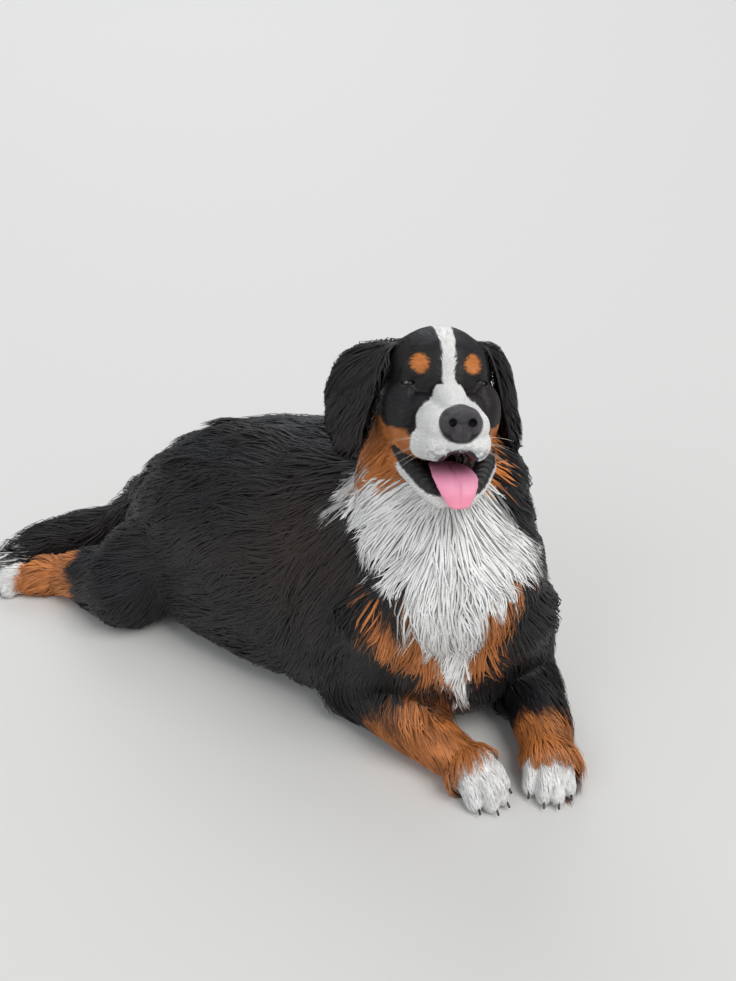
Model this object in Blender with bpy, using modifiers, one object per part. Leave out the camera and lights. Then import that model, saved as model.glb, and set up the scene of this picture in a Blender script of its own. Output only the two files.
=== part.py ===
"""A life-size Bernese mountain dog lying down, head up and mouth open, as a still museum model.

The dog lies on the floor at z = 0 with its chest towards -Y and its tail towards -X. Metres, +Z up.
Each part of the body is one closed solid: a smooth core, and flat tapered locks for the long coat.
"""

from math import copysign, cos, pi, radians, sin

import bmesh
import bpy
import numpy as np
from mathutils import Matrix, Vector
from mathutils.bvhtree import BVHTree

GAP = 0.0003
SOLVER = "MANIFOLD"
DOWN = Vector((0, 0, -1))

# Trunk core, from the chest to the buttocks: middle of each section, half width, top, bottom, and how
# square the lower half is.
TRUNK = (
    ((0.224, -0.277), 0.038, 0.257, 0.133, 2.0),
    ((0.221, -0.258), 0.090, 0.309, 0.067, 2.0),
    ((0.211, -0.204), 0.138, 0.366, 0.019, 2.1),
    ((0.170, -0.130), 0.166, 0.400, 0.004, 2.6),
    ((0.094, -0.056), 0.178, 0.403, -0.004, 3.2),
    ((0.004, 0.006), 0.180, 0.388, -0.004, 3.4),
    ((-0.087, 0.058), 0.171, 0.366, -0.004, 3.4),
    ((-0.175, 0.105), 0.150, 0.326, -0.002, 3.4),
    ((-0.245, 0.144), 0.120, 0.274, 0.006, 3.0),
    ((-0.296, 0.167), 0.074, 0.214, 0.038, 2.4),
    ((-0.319, 0.179), 0.028, 0.168, 0.086, 2.0),
)
RING = 32
WAIST = 0.40
BACK_ROUND = 2.1

NECK = ((0.211, -0.190, 0.285), (0.200, -0.138, 0.375), (0.187, -0.084, 0.466))
NECK_RADII = (0.128, 0.120, 0.092)

# Cuts between the lengths of the trunk: a point and the direction that faces forward.
NECK_CUT = ((0.211, -0.270, 0.322), (0.12, -0.37, 0.92))
CHEST_CUT = ((0.080, -0.045, 0.200), (0.77, -0.64, 0.0))
RUMP_CUT = ((-0.150, 0.092, 0.200), (0.88, -0.47, 0.0))

# Head: the point midway between the eyes, and where the face looks.
HEAD_AT = Vector((0.196, -0.172, 0.553))
HEAD_TURN = radians(6.8)
HEAD_LIFT = radians(27.0)
HEAD_TILT = radians(-3.4)
EYE_BALL = 1.18
LID = 0.28
EYE_SIDE = 4.55
EYE_RISE = 0.75
EYE_TURN = radians(16)

# Legs as bones, with the flesh round each place: shoulder, elbow, half way down the forearm, and wrist.
FORE_RIGHT = ((0.128, -0.222, 0.222), (0.080, -0.190, 0.057), (0.155, -0.268, 0.048), (0.226, -0.330, 0.036))
FORE_LEFT = ((0.288, -0.202, 0.215), (0.328, -0.142, 0.057), (0.348, -0.228, 0.048), (0.355, -0.312, 0.036))
FORE_RADII = (0.074, 0.058, 0.048, 0.037)

# Hip and knee, then knee, half way down, and hock.
THIGH_RIGHT = ((-0.190, 0.105, 0.157), (-0.328, 0.038, 0.072))
THIGH_LEFT = ((-0.142, 0.226, 0.142), (0.000, 0.262, 0.112))
THIGH_RADII = (0.104, 0.074)
SHANK_RIGHT = ((-0.328, 0.040, 0.070), (-0.405, 0.080, 0.052), (-0.475, 0.112, 0.037))
SHANK_LEFT = ((0.000, 0.268, 0.095), (-0.095, 0.315, 0.052), (-0.185, 0.345, 0.035))
SHANK_RADII = (0.066, 0.050, 0.038)

# Feet: heel, front of the toes, and half the breadth.
FEET = {
    "forepaw_right": ((0.240, -0.340), (0.284, -0.397), 0.040),
    "forepaw_left": ((0.357, -0.322), (0.354, -0.392), 0.040),
    "hindpaw_right": ((-0.492, 0.114), (-0.606, 0.108), 0.033),
    "hindpaw_left": ((-0.180, 0.364), (-0.070, 0.398), 0.033),
}
TOES = ((-0.75, 0.016), (-0.26, 0.0), (0.26, 0.0), (0.75, 0.016))
CLAW_RADIUS = 0.0042
CLAW_LENGTH = 0.020

TAIL = ((-0.300, 0.190, 0.150), (-0.399, 0.250, 0.050), (-0.494, 0.243, 0.036), (-0.612, 0.188, 0.022))
TAIL_RADII = (0.052, 0.044, 0.039, 0.024)

# Ears: middle line from inside the skull to the tip and half width, in centimetres on the head, and the
# way from the front edge to the rear one.
EARS = {
    "ear_right": (
        ((-7.0, -5.4, 6.0, 3.0), (-7.2, -9.2, 5.6, 4.2), (-6.8, -11.6, 2.4, 4.7), (-6.2, -12.5, -2.2, 4.0),
         (-5.4, -12.5, -6.0, 2.6), (-5.0, -12.3, -8.0, 0.8)),
        (-0.72, -0.68, -0.1),
    ),
    "ear_left": (
        ((-7.0, 5.4, 6.0, 3.0), (-7.4, 8.2, 5.2, 4.2), (-7.2, 9.7, 2.0, 4.7), (-6.8, 10.4, -2.2, 4.0),
         (-6.2, 10.7, -5.6, 2.6), (-5.8, 10.8, -7.6, 0.8)),
        (-0.93, 0.35, -0.1),
    ),
}
EAR_CUP = 0.9
EAR_THICK = 0.006

# Locks of each node: how far apart, length, breadth, how deep the root sits, tip height above the core.
LOCKS = {
    "neck": (0.046, 0.140, 0.056, 0.009, 0.018),
    "chest": (0.050, 0.140, 0.060, 0.009, 0.018),
    "barrel": (0.057, 0.165, 0.066, 0.009, 0.017),
    "rump": (0.054, 0.150, 0.062, 0.009, 0.018),
    "thigh_right": (0.050, 0.125, 0.054, 0.009, 0.018),
    "thigh_left": (0.054, 0.130, 0.056, 0.009, 0.018),
    "tail": (0.048, 0.130, 0.046, 0.009, 0.022),
    "head": (0.028, 0.065, 0.028, 0.006, 0.009),
    "ear_right": (0.034, 0.075, 0.032, 0.0028, 0.007),
    "ear_left": (0.034, 0.075, 0.032, 0.0028, 0.007),
    "foreleg_right": (0.040, 0.080, 0.032, 0.007, 0.014),
    "foreleg_left": (0.044, 0.080, 0.032, 0.007, 0.014),
    "shank_right": (0.044, 0.070, 0.036, 0.007, 0.014),
    "shank_left": (0.044, 0.070, 0.036, 0.007, 0.014),
}
LOCK_THICK = 0.0075
LOCK_FLOOR = (0.0010, 0.0035)
LOCK_STRETCH = 1.6
# Places along a lock: how far, breadth there, and how much of its full height it has reached.
LOCK_SECTIONS = ((0.0, 0.75, None), (0.25, 1.0, 0.4), (0.70, 0.78, 0.85))
LOCK_SWAY = 0.09
LOCK_SEED = 2
# How far back a root moves, how high its lock stands and how long it stays, tried in turn until it is clear.
LOCK_TRIES = (
    (0.0, 1.0, 1.0), (0.0, 1.4, 1.0), (0.02, 1.2, 1.0), (0.035, 1.4, 1.0),
    (-0.02, 1.2, 0.8), (-0.045, 1.2, 0.8), (0.0, 1.2, 0.7), (0.02, 1.5, 0.7), (0.0, 1.2, 0.5),
)

# Colour, roughness and the kinds of node that have it.
LOOKS = {
    "coat_black": ((0.018, 0.018, 0.022), 0.55, ("head", "neck", "barrel", "rump", "tail", "ear", "thigh")),
    "coat_white": ((0.86, 0.84, 0.80), 0.60, ("chest", "jaw", "forepaw")),
    "coat_tan": ((0.42, 0.16, 0.05), 0.60, ("foreleg", "shank", "hindpaw")),
    "nose_skin": ((0.030, 0.028, 0.030), 0.35, ("nose",)),
    "tongue_skin": ((0.80, 0.33, 0.42), 0.35, ("tongue",)),
    "eye_brown": ((0.06, 0.03, 0.02), 0.08, ("eye",)),
    "claw_horn": ((0.05, 0.045, 0.04), 0.40, ("claw",)),
}


def head_axes():
    """Unit vectors of the head: forward along the muzzle, to the dog's left, and up."""
    forward = Vector((sin(HEAD_TURN) * cos(HEAD_LIFT), -cos(HEAD_TURN) * cos(HEAD_LIFT), sin(HEAD_LIFT)))
    side = Vector((cos(HEAD_TURN), sin(HEAD_TURN), 0))
    up = forward.cross(side)
    tilted_up = up * cos(HEAD_TILT) - side * sin(HEAD_TILT)
    tilted_side = side * cos(HEAD_TILT) + up * sin(HEAD_TILT)
    return forward, tilted_side, tilted_up


FORWARD, SIDE, UP = head_axes()


def on_head(forward, side, up):
    """A point given in centimetres along the head's own axes."""
    return HEAD_AT + (FORWARD * forward + SIDE * side + UP * up) * 0.01


def frame(along, up=(0, 0, 1)):
    """A turn whose first axis lies along the given direction and whose third is near the up direction."""
    x = Vector(along).normalized()
    y = Vector(up).cross(x).normalized()
    return Matrix((x, y, x.cross(y))).transposed().to_4x4()


def lump(centre, radii, along=(1, 0, 0), up=(0, 0, 1)):
    """Where an ellipsoid of flesh stands, as one matrix: its first radius lies along the direction."""
    return Matrix.Translation(Vector(centre)) @ frame(along, up) @ Matrix.Diagonal((*radii, 1))


def head_lump(place, radii):
    """An ellipsoid of the head, with its place and radii in centimetres along the head's axes."""
    return lump(on_head(*place), [r * 0.01 for r in radii], FORWARD, UP)


def limb(points, radii, flat=1.0, up=(0, 0, 1)):
    """A round tapered length of body through the points, as a row of balls, flattened along up."""
    lumps = []
    for (a, b), (r, s) in zip(zip(points, points[1:]), zip(radii, radii[1:])):
        a, b = Vector(a), Vector(b)
        count = max(2, int((b - a).length / (0.4 * min(r, s))))
        for i in range(count):
            t = i / (count - 1)
            size = r + (s - r) * t
            lumps.append(lump(a.lerp(b, t), (size, size, size * flat), b - a, up))
    return lumps


def head_limb(points, radii, flat=1.0):
    return limb([on_head(*p) for p in points], [r * 0.01 for r in radii], flat, UP)


def new_object(name, mesh):
    obj = bpy.data.objects.new(name, mesh)
    bpy.context.scene.collection.objects.link(obj)
    return obj


def from_bmesh(name, shape):
    mesh = bpy.data.meshes.new(name)
    shape.to_mesh(mesh)
    shape.free()
    return new_object(name, mesh)


def apply_modifiers(obj):
    graph = bpy.context.evaluated_depsgraph_get()
    mesh = bpy.data.meshes.new_from_object(obj.evaluated_get(graph))
    obj.modifiers.clear()
    obj.data = mesh
    return obj


def spheres(name, lumps, segments=24):
    """All the lumps as one mesh of separate ellipsoids."""
    ball = bmesh.new()
    bmesh.ops.create_uvsphere(ball, u_segments=segments, v_segments=segments * 2 // 3, radius=1)
    template = bpy.data.meshes.new("ball")
    ball.to_mesh(template)
    ball.free()
    shape = bmesh.new()
    for matrix in lumps:
        mesh = template.copy()
        mesh.transform(matrix)
        shape.from_mesh(mesh)
        bpy.data.meshes.remove(mesh)
    return from_bmesh(name, shape)


def soften(obj, voxel, smoothing, triangles):
    """One smooth skin round all that the object holds, reduced to about so many triangles."""
    remesh = obj.modifiers.new("skin", "REMESH")
    remesh.mode = "VOXEL"
    remesh.voxel_size = voxel
    smooth = obj.modifiers.new("smooth", "SMOOTH")
    smooth.factor = 0.5
    smooth.iterations = smoothing
    apply_modifiers(obj)
    obj.data.calc_loop_triangles()
    reduce = obj.modifiers.new("reduce", "DECIMATE")
    reduce.ratio = min(1.0, triangles / len(obj.data.loop_triangles))
    reduce.use_collapse_triangulate = True
    return apply_modifiers(obj)


def fuse(name, lumps, voxel, smoothing, triangles):
    return soften(spheres(name, lumps), voxel, smoothing, triangles)


def join(name, objects):
    shape = bmesh.new()
    for obj in objects:
        shape.from_mesh(obj.data)
        bpy.data.objects.remove(obj)
    return from_bmesh(name, shape)


def keep_largest(obj):
    """Keep only the largest closed surface of the object."""
    shape = bmesh.new()
    shape.from_mesh(obj.data)
    left = set(shape.faces)
    shells = []
    while left:
        shell = [left.pop()]
        for face in shell:
            for edge in face.edges:
                for other in edge.link_faces:
                    if other in left:
                        left.remove(other)
                        shell.append(other)
        shells.append(shell)
    shells.sort(key=spread)
    loose = [face for shell in shells[:-1] for face in shell]
    bmesh.ops.delete(shape, geom=loose, context="FACES")
    shape.to_mesh(obj.data)
    shape.free()
    return obj


def spread(shell):
    """How large a surface is: the product of its extents."""
    places = np.array([vert.co[:] for face in shell for vert in face.verts])
    return float(np.prod(np.ptp(places, axis=0)))


def swollen(obj, by=GAP):
    """A copy of the object with its surface moved out by the gap, and by more at sharp corners."""
    shape = bmesh.new()
    shape.from_mesh(obj.data)
    moves = []
    for vert in shape.verts:
        flattest = min(vert.normal.dot(face.normal) for face in vert.link_faces)
        moves.append(vert.normal * (by / max(flattest, 0.35)))
    for vert, move in zip(shape.verts, moves):
        vert.co += move
    return from_bmesh("swollen", shape)


def cut(obj, cutters):
    """Take the cutters out of the object, and remove them."""
    for cutter in cutters:
        boolean = obj.modifiers.new("cut", "BOOLEAN")
        boolean.operation = "DIFFERENCE"
        boolean.solver = SOLVER
        boolean.object = cutter
        apply_modifiers(obj)
        bpy.data.objects.remove(cutter)
    return keep_largest(obj)


def halve(obj, point, normal, keep_front):
    """The part of a closed object on one side of a plane, closed again with a flat face."""
    point, normal = Vector(point), Vector(normal).normalized()
    shift = GAP / 2 if keep_front else -GAP / 2
    shape = bmesh.new()
    shape.from_mesh(obj.data)
    bmesh.ops.bisect_plane(
        shape,
        geom=shape.verts[:] + shape.edges[:] + shape.faces[:],
        plane_co=point + normal * shift,
        plane_no=normal,
        clear_inner=keep_front,
        clear_outer=not keep_front,
    )
    rim = [edge for edge in shape.edges if edge.is_boundary]
    bmesh.ops.holes_fill(shape, edges=rim, sides=0)
    shape.to_mesh(obj.data)
    shape.free()
    return keep_largest(obj)


def part(obj, point, normal, names):
    """Part an object with a thin cut into a front and a rear piece."""
    front = new_object(names[0], obj.data.copy())
    rear = new_object(names[1], obj.data.copy())
    bpy.data.objects.remove(obj)
    return halve(front, point, normal, True), halve(rear, point, normal, False)


def on_floor(obj):
    """Flatten what would reach below the floor."""
    if min(vert.co.z for vert in obj.data.vertices) < 0:
        halve(obj, (0, 0, -GAP / 2), (0, 0, 1), True)
    return obj


def smooth_rows(rows, steps):
    """The same rows of numbers with evenly spread rows between them, on one smooth curve."""
    rows = np.array(rows, float)
    padded = np.vstack([2 * rows[0] - rows[1], rows, 2 * rows[-1] - rows[-2]])
    out = []
    for i in range(len(rows) - 1):
        p0, p1, p2, p3 = padded[i : i + 4]
        for t in np.arange(steps) / steps:
            a, b = 2 * p1, p2 - p0
            c, d = 2 * p0 - 5 * p1 + 4 * p2 - p3, 3 * p1 - p0 - 3 * p2 + p3
            out.append((a + b * t + c * t**2 + d * t**3) / 2)
    return np.array(out + [rows[-1]])


TRUNK_ROWS = smooth_rows([(*middle, *rest) for middle, *rest in TRUNK], 4)
HEADING = np.gradient(TRUNK_ROWS[:, :2], axis=0)
HEADING /= np.linalg.norm(HEADING, axis=1)[:, None]


def trunk_shell():
    """The barrel of the body: a loft of unlike sections along the curved line of the back."""
    shape = bmesh.new()
    rings = []
    for (x, y, width, top, bottom, square), (hx, hy) in zip(TRUNK_ROWS, HEADING):
        ring = []
        middle = bottom + (top - bottom) * WAIST
        for k in range(RING):
            turn = 2 * pi * k / RING
            power = 2 / (BACK_ROUND if sin(turn) > 0 else square)
            across = copysign(abs(cos(turn)) ** power, cos(turn)) * width
            rise = copysign(abs(sin(turn)) ** power, sin(turn))
            z = middle + rise * ((top - middle) if rise > 0 else (middle - bottom))
            ring.append(shape.verts.new((x + hy * across, y - hx * across, z)))
        rings.append(ring)
    for a, b in zip(rings, rings[1:]):
        for k in range(RING):
            shape.faces.new((a[k], a[(k + 1) % RING], b[(k + 1) % RING], b[k]))
    shape.faces.new(rings[0][::-1])
    shape.faces.new(rings[-1])
    bmesh.ops.recalc_face_normals(shape, faces=shape.faces)
    return from_bmesh("trunk_shell", shape)


def trunk_cores():
    """Neck, chest, barrel and rump: one body, parted with thin cuts."""
    lumps = limb(NECK, NECK_RADII)
    lumps += [
        lump((0.095, -0.150, 0.205), (0.10, 0.068, 0.13), (0.3, -0.6, 0)),
        lump((0.300, -0.135, 0.215), (0.10, 0.056, 0.12), (0.1, -0.9, 0)),
        lump((0.130, -0.040, 0.315), (0.11, 0.11, 0.085)),
    ]
    whole = soften(join("trunk", [trunk_shell(), spheres("flesh", lumps, 32)]), 0.010, 12, 900)
    neck, body = part(whole, *NECK_CUT, ("neck", "body"))
    chest, body = part(body, *CHEST_CUT, ("chest", "body"))
    barrel, rump = part(body, *RUMP_CUT, ("barrel", "rump"))
    return [neck, chest, barrel, rump]


def eye_look(side):
    """The way an eye faces: a little outward of the muzzle."""
    return FORWARD * cos(EYE_TURN) + SIDE * (side * sin(EYE_TURN))


def eye_place(side, forward=0.0):
    """The middle of an eyeball, or a place so many centimetres in front of it."""
    return on_head(-1.7, side * EYE_SIDE, EYE_RISE) + eye_look(side) * (forward * 0.01)


def eyeball(name, side):
    return spheres(name, [lump(eye_place(side), (EYE_BALL * 0.01,) * 3, eye_look(side), UP)], 9)


def mouth_hollow():
    """The hollow of the open mouth, from the throat to the lips."""
    points = ((-2.0, 0, -9.3), (4.0, 0, -9.6), (10.5, 0, -10.0))
    return fuse("mouth", head_limb(points, (2.7, 2.4, 1.9)), 0.006, 4, 160)


def head_core(eyes, nose, mouth):
    """Skull, brows, cheeks and upper muzzle with its hanging lips, cut open for the mouth and the eyes."""
    lumps = [
        head_lump((-6.0, 0, 1.8), (7.8, 7.2, 7.0)),
        head_lump((-3.4, 0, 3.6), (5.0, 5.4, 4.0)),
        head_lump((-11.0, 0, -1.5), (4.5, 5.6, 5.6)),
    ]
    for s in (-1, 1):
        lumps += [
            head_lump((-1.6, s * 3.2, 2.2), (2.6, 2.7, 2.0)),
            head_lump((-3.6, s * 5.0, -3.0), (5.0, 3.2, 4.6)),
            head_lump((-2.4, s * 5.2, -0.8), (3.2, 2.1, 2.2)),
            head_lump((0.4, s * 3.1, -2.4), (2.4, 2.0, 2.0)),
            head_lump((-1.7, s * EYE_SIDE, EYE_RISE), (EYE_BALL + LID,) * 3),
        ]
        lumps += head_limb(((0.5, s * 2.2, -3.8), (8.2, s * 1.9, -4.8)), (2.7, 2.2))
        flews = ((-1.5, s * 4.4, -6.2), (3.6, s * 3.2, -7.0), (7.8, s * 2.2, -7.2))
        lumps += head_limb(flews, (2.4, 2.2, 2.1))
    lumps += head_limb(((-1.2, 0, -0.1), (8.6, 0, -3.7)), (2.5, 2.1))
    head = fuse("head", lumps, 0.0042, 4, 880)
    openings = [
        spheres("opening", [lump(eye_place(s, 1.2), (0.012, 0.0095, 0.0034), eye_look(s), UP)], 12)
        for s in (-1, 1)
    ]
    return cut(head, [swollen(mouth), *openings, swollen(nose), *map(swollen, eyes)])


def nose_pad():
    """The nose: a broad pad with two nostrils."""
    lumps = [
        head_lump((9.5, 0, -3.6), (1.8, 2.1, 1.3)),
        head_lump((9.5, 0, -5.2), (1.5, 1.3, 1.7)),
    ]
    for s in (-1, 1):
        lumps.append(head_lump((9.3, s * 1.35, -4.3), (1.8, 1.15, 1.3)))
    nose = fuse("nose", lumps, 0.002, 3, 150)
    nostrils = []
    for s in (-1, 1):
        hole = ((11.5, s * 0.95, -4.4), (9.9, s * 1.05, -4.3), (9.1, s * 1.9, -4.7))
        lumps = head_limb(hole, (0.5, 0.42, 0.36))
        nostrils.append(soften(spheres("nostril", lumps, 8), 0.0015, 2, 60))
    return cut(nose, nostrils)


def tongue_core():
    """The tongue, broad and flat, hanging over the front of the jaw."""
    points = ((-1.0, 0, -9.8), (3.5, 0, -10.2), (6.8, 0.1, -11.3), (8.0, 0.2, -13.0), (8.1, 0.3, -14.4))
    widths = (2.2, 2.7, 2.9, 2.3, 1.5)
    rows = smooth_rows([(*p, w) for p, w in zip(points, widths)], 4)
    lumps = []
    for i, (f, s, u, width) in enumerate(rows):
        before, after = rows[max(0, i - 1)], rows[min(len(rows) - 1, i + 1)]
        along = (FORWARD * (after[0] - before[0]) + UP * (after[2] - before[2])).normalized()
        lumps.append(lump(on_head(f, s, u), (0.006, width * 0.01, 0.0045), along, SIDE.cross(along) * -1))
    return fuse("tongue", lumps, 0.003, 4, 130)


def jaw_core():
    """Lower jaw with its lips, open, and the flesh of the throat behind it."""
    lumps = [head_lump((-6.0, 0, -8.6), (4.6, 5.4, 4.6))]
    lumps += head_limb(((-4, 0, -11.0), (3.6, 0, -13.4)), (3.2, 1.9))
    lumps.append(head_lump((1.2, 0, -12.6), (3.6, 3.8, 1.7)))
    for s in (-1, 1):
        lip = [(-5.0, s * 4.2, -8.4), (-1.5, s * 5.2, -8.3), (1.5, s * 5.0, -10.0)]
        lip += [(4.2, s * 3.4, -12.2), (6.0, s * 1.6, -13.8)]
        lumps += head_limb(lip, (2.6, 1.9, 1.5, 1.4, 1.3))
    return fuse("jaw", lumps, 0.004, 8, 240)


def ear_core(name):
    """An ear: a thin leaf, cupped towards the head, hanging from the side of the skull."""
    rows, across = EARS[name]
    outward = SIDE * copysign(1, rows[0][1])
    rearward = (FORWARD * across[0] + SIDE * across[1] + UP * across[2]).normalized()
    shape = bmesh.new()
    grid = []
    for forward, side, up, width in smooth_rows(rows, 2)[:-1]:
        line = []
        for t in np.linspace(-1, 1, 6):
            place = on_head(forward, side, up) + rearward * (t * width * 0.01)
            line.append(shape.verts.new(place - outward * (EAR_CUP * 0.01 * t * t * width / 4)))
        grid.append(line)
    for a, b in zip(grid, grid[1:]):
        for k in range(5):
            shape.faces.new((a[k], a[k + 1], b[k + 1]))
            shape.faces.new((a[k], b[k + 1], b[k]))
    ear = from_bmesh(name, shape)
    solid = ear.modifiers.new("thickness", "SOLIDIFY")
    solid.thickness = EAR_THICK
    solid.offset = 0
    apply_modifiers(ear)
    shape = bmesh.new()
    shape.from_mesh(ear.data)
    bmesh.ops.recalc_face_normals(shape, faces=shape.faces)
    shape.to_mesh(ear.data)
    shape.free()
    return ear


def foot_axes(name):
    heel, toe, breadth = FEET[name]
    heel, toe = Vector((*heel, 0)), Vector((*toe, 0))
    along = (toe - heel).normalized()
    return heel, toe, along, Vector((along.y, -along.x, 0)), breadth


def toe_roots(name):
    """Front of each toe on the floor, and the way the toe points."""
    heel, toe, along, across, breadth = foot_axes(name)
    for place, back in TOES:
        yield toe + across * (place * breadth) - along * back, (along + across * (place * 0.25)).normalized()


def foot_core(name, claws):
    """A foot: a broad instep and four knuckled toes side by side, pitted for the claws."""
    heel, toe, along, across, breadth = foot_axes(name)
    length = (toe - heel).length
    lumps = [
        lump(heel.lerp(toe, 0.10) + Vector((0, 0, 0.033)), (length * 0.45, breadth * 0.95, 0.033), along),
        lump(heel.lerp(toe, 0.45) + Vector((0, 0, 0.018)), (length * 0.35, breadth * 0.9, 0.020), along),
    ]
    for root, points in toe_roots(name):
        lumps.append(lump(root - points * 0.032 + Vector((0, 0, 0.029)), (0.024, 0.0125, 0.019), points))
        lumps.append(lump(root - points * 0.016 + Vector((0, 0, 0.0145)), (0.0165, 0.0115, 0.0175), points))
    return cut(fuse(name, lumps, 0.003, 2, 190), [swollen(claw) for claw in claws])


def claw(name, root, points):
    """A claw: a round tapered hook, its root inside the toe and its tip just off the floor."""
    shape = bmesh.new()
    start = root - points * 0.012 + Vector((0, 0, 0.0185))
    rings = []
    for t, radius in ((0.0, 1.0), (0.55, 0.8)):
        centre = start + points * (CLAW_LENGTH * t) + DOWN * (0.012 * t * t)
        turn = frame(points + DOWN * t).to_3x3()
        rings.append([
            shape.verts.new(centre + turn @ Vector((0, cos(a), sin(a))) * (CLAW_RADIUS * radius))
            for a in (2 * pi * k / 5 for k in range(5))
        ])
    tip = shape.verts.new(start + points * CLAW_LENGTH + DOWN * 0.013)
    for k in range(5):
        shape.faces.new((rings[0][k], rings[0][k - 1], rings[1][k - 1], rings[1][k]))
        shape.faces.new((rings[1][k], rings[1][k - 1], tip))
    shape.faces.new(rings[0])
    bmesh.ops.recalc_face_normals(shape, faces=shape.faces)
    return from_bmesh(name, shape)


def rearward(point):
    """Towards the tail along the nearest stretch of the trunk's middle line."""
    gaps = TRUNK_ROWS[:, :2] - np.array(point[:2])
    heading = HEADING[int(np.argmin((gaps**2).sum(axis=1)))]
    return Vector((heading[0], heading[1], 0))


def tree(mesh):
    return BVHTree.FromPolygons([v.co for v in mesh.vertices], [p.vertices[:] for p in mesh.polygons])


def outer_tree(cores):
    """One search tree of all the cores together, without the faces that meet a neighbour or the floor."""
    everything = join("everything", [new_object("copy", obj.data.copy()) for obj in cores])
    mesh = everything.data
    buried = tree(mesh)
    faces = [
        p.vertices[:] for p in mesh.polygons
        if p.center.z > 0.001 and not buried.ray_cast(p.center + p.normal * GAP / 4, p.normal, 8 * GAP)[0]
    ]
    outer = BVHTree.FromPolygons([v.co for v in mesh.vertices], faces)
    bpy.data.objects.remove(everything)
    return outer


def scatter(obj, spacing, draw, surface):
    """Evenly spread random places on the open surface of an object, farther apart along the lie."""
    mesh = obj.data
    mesh.calc_loop_triangles()
    corners = np.array([[mesh.vertices[i].co[:] for i in t.vertices] for t in mesh.loop_triangles])
    normals = np.cross(corners[:, 1] - corners[:, 0], corners[:, 2] - corners[:, 0])
    areas = np.linalg.norm(normals, axis=1)
    count = int(30 * areas.sum() / 2 / spacing**2)
    kept = []
    for face in draw.choice(len(areas), size=count, p=areas / areas.sum()):
        a, b = draw.random(2)
        if a + b > 1:
            a, b = 1 - a, 1 - b
        o, p, q = corners[face]
        place = Vector(o + (p - o) * a + (q - o) * b)
        normal = Vector(normals[face]).normalized()
        if surface.find_nearest(place)[3] > GAP or not has_locks(obj.name, place, normal):
            continue
        way = lie_of(obj.name, place).normalized()
        steps = [(place - other, (place - other).dot(way)) for other, _ in kept]
        if all(step.length_squared - s * s * (1 - LOCK_STRETCH**-2) > spacing**2 for step, s in steps):
            kept.append((place, normal))
    return kept


def lock_path(surface, name, root, normal, length, sink, rise, sway, shift, lift):
    """Places along a lock, with the way out of the body there, as it leaves the core and lies along it."""
    path = []
    place, out = root, normal
    reached = shift / length
    for t, width, share in (*LOCK_SECTIONS, (1.0, 0.0, 1.0)):
        way = lie_of(name, place)
        way = (way - out * way.dot(out)).normalized()
        side = way.cross(out)
        place, out, face, gap = surface.find_nearest(place + way * ((t - reached) * length))
        reached = t
        height = -sink if share is None else rise * share * lift
        centre = place + out * height + side * (sway * length * sin(pi * 1.3 * t))
        centre.z = max(centre.z, LOCK_THICK + 0.004)
        path.append((centre, out))
    return path


def blade(path, breadth, floor, margin=0.0):
    """Corners and faces of one lock: a flat, tapered, bent blade with a ridge along its outer side."""
    places = []
    for i, ((centre, out), (t, width, share)) in enumerate(zip(path, LOCK_SECTIONS)):
        way = (path[i + 1][0] - path[max(0, i - 1)][0]).normalized()
        side = way.cross(out).normalized()
        out = side.cross(way)
        half = breadth * width / 2 + margin
        places += [
            centre - side * half - out * margin,
            centre + out * (LOCK_THICK * (0.5 + width / 2) + margin),
            centre + side * half - out * margin,
        ]
    last = path[-1][0]
    places.append(last + (last - path[-2][0]).normalized() * margin)
    places = [Vector((x, y, max(z, floor + x * 0.001))) for x, y, z in places]
    faces = [(2, 1, 0)]
    rings = len(LOCK_SECTIONS)
    for i in range(rings - 1):
        for k in range(3):
            a, b = 3 * i + k, 3 * i + (k + 1) % 3
            faces += [(b + 3, a + 3, a), (b, b + 3, a)]
    a = 3 * (rings - 1)
    faces += [(a + (k + 1) % 3, 3 * rings, a + k) for k in range(3)]
    return places, faces


def folded(places, faces):
    """Whether a lock bends so sharply that it crosses itself."""
    surface = BVHTree.FromPolygons(places, faces)
    return any(not set(faces[a]) & set(faces[b]) for a, b in surface.overlap(surface))


def along(points, place):
    """The way along the nearest stretch of a line of points."""
    spans = [(Vector(a), Vector(b)) for a, b in zip(points, points[1:])]
    a, b = min(spans, key=lambda span: ((span[0] + span[1]) / 2 - place).length)
    return (b - a).normalized()


def lie_of(name, place):
    """The way the coat of a node lies at a place."""
    if name == "tail":
        return along(TAIL, place)
    if name.startswith("ear"):
        return DOWN - FORWARD * 0.15
    if name.startswith("foreleg"):
        bones, outward = (FORE_RIGHT, -0.5) if name.endswith("right") else (FORE_LEFT, 0.5)
        return along(bones, place) * 0.8 + Vector((outward, 0.3, -0.5))
    if name == "head":
        return DOWN * 0.8 - FORWARD * 0.6
    if name in ("neck", "chest"):
        return rearward(place) * 0.45 + DOWN
    if name.startswith("thigh"):
        return rearward(place) * 0.9 + DOWN * 0.7
    return rearward(place) + DOWN * 0.55


def has_locks(name, place, normal):
    """Where a node's coat is long enough for locks."""
    if name == "head":
        local = place - HEAD_AT
        return local.dot(FORWARD) < -0.025 and local.dot(UP) < 0.0
    if name.startswith("foreleg"):
        return place.z < 0.085 and normal.x * (-1 if name.endswith("right") else 1) > 0.3
    if name.startswith("shank"):
        return normal.z > 0 and place.z > 0.03
    return place.z > 0.012 and normal.z > -0.6


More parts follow.
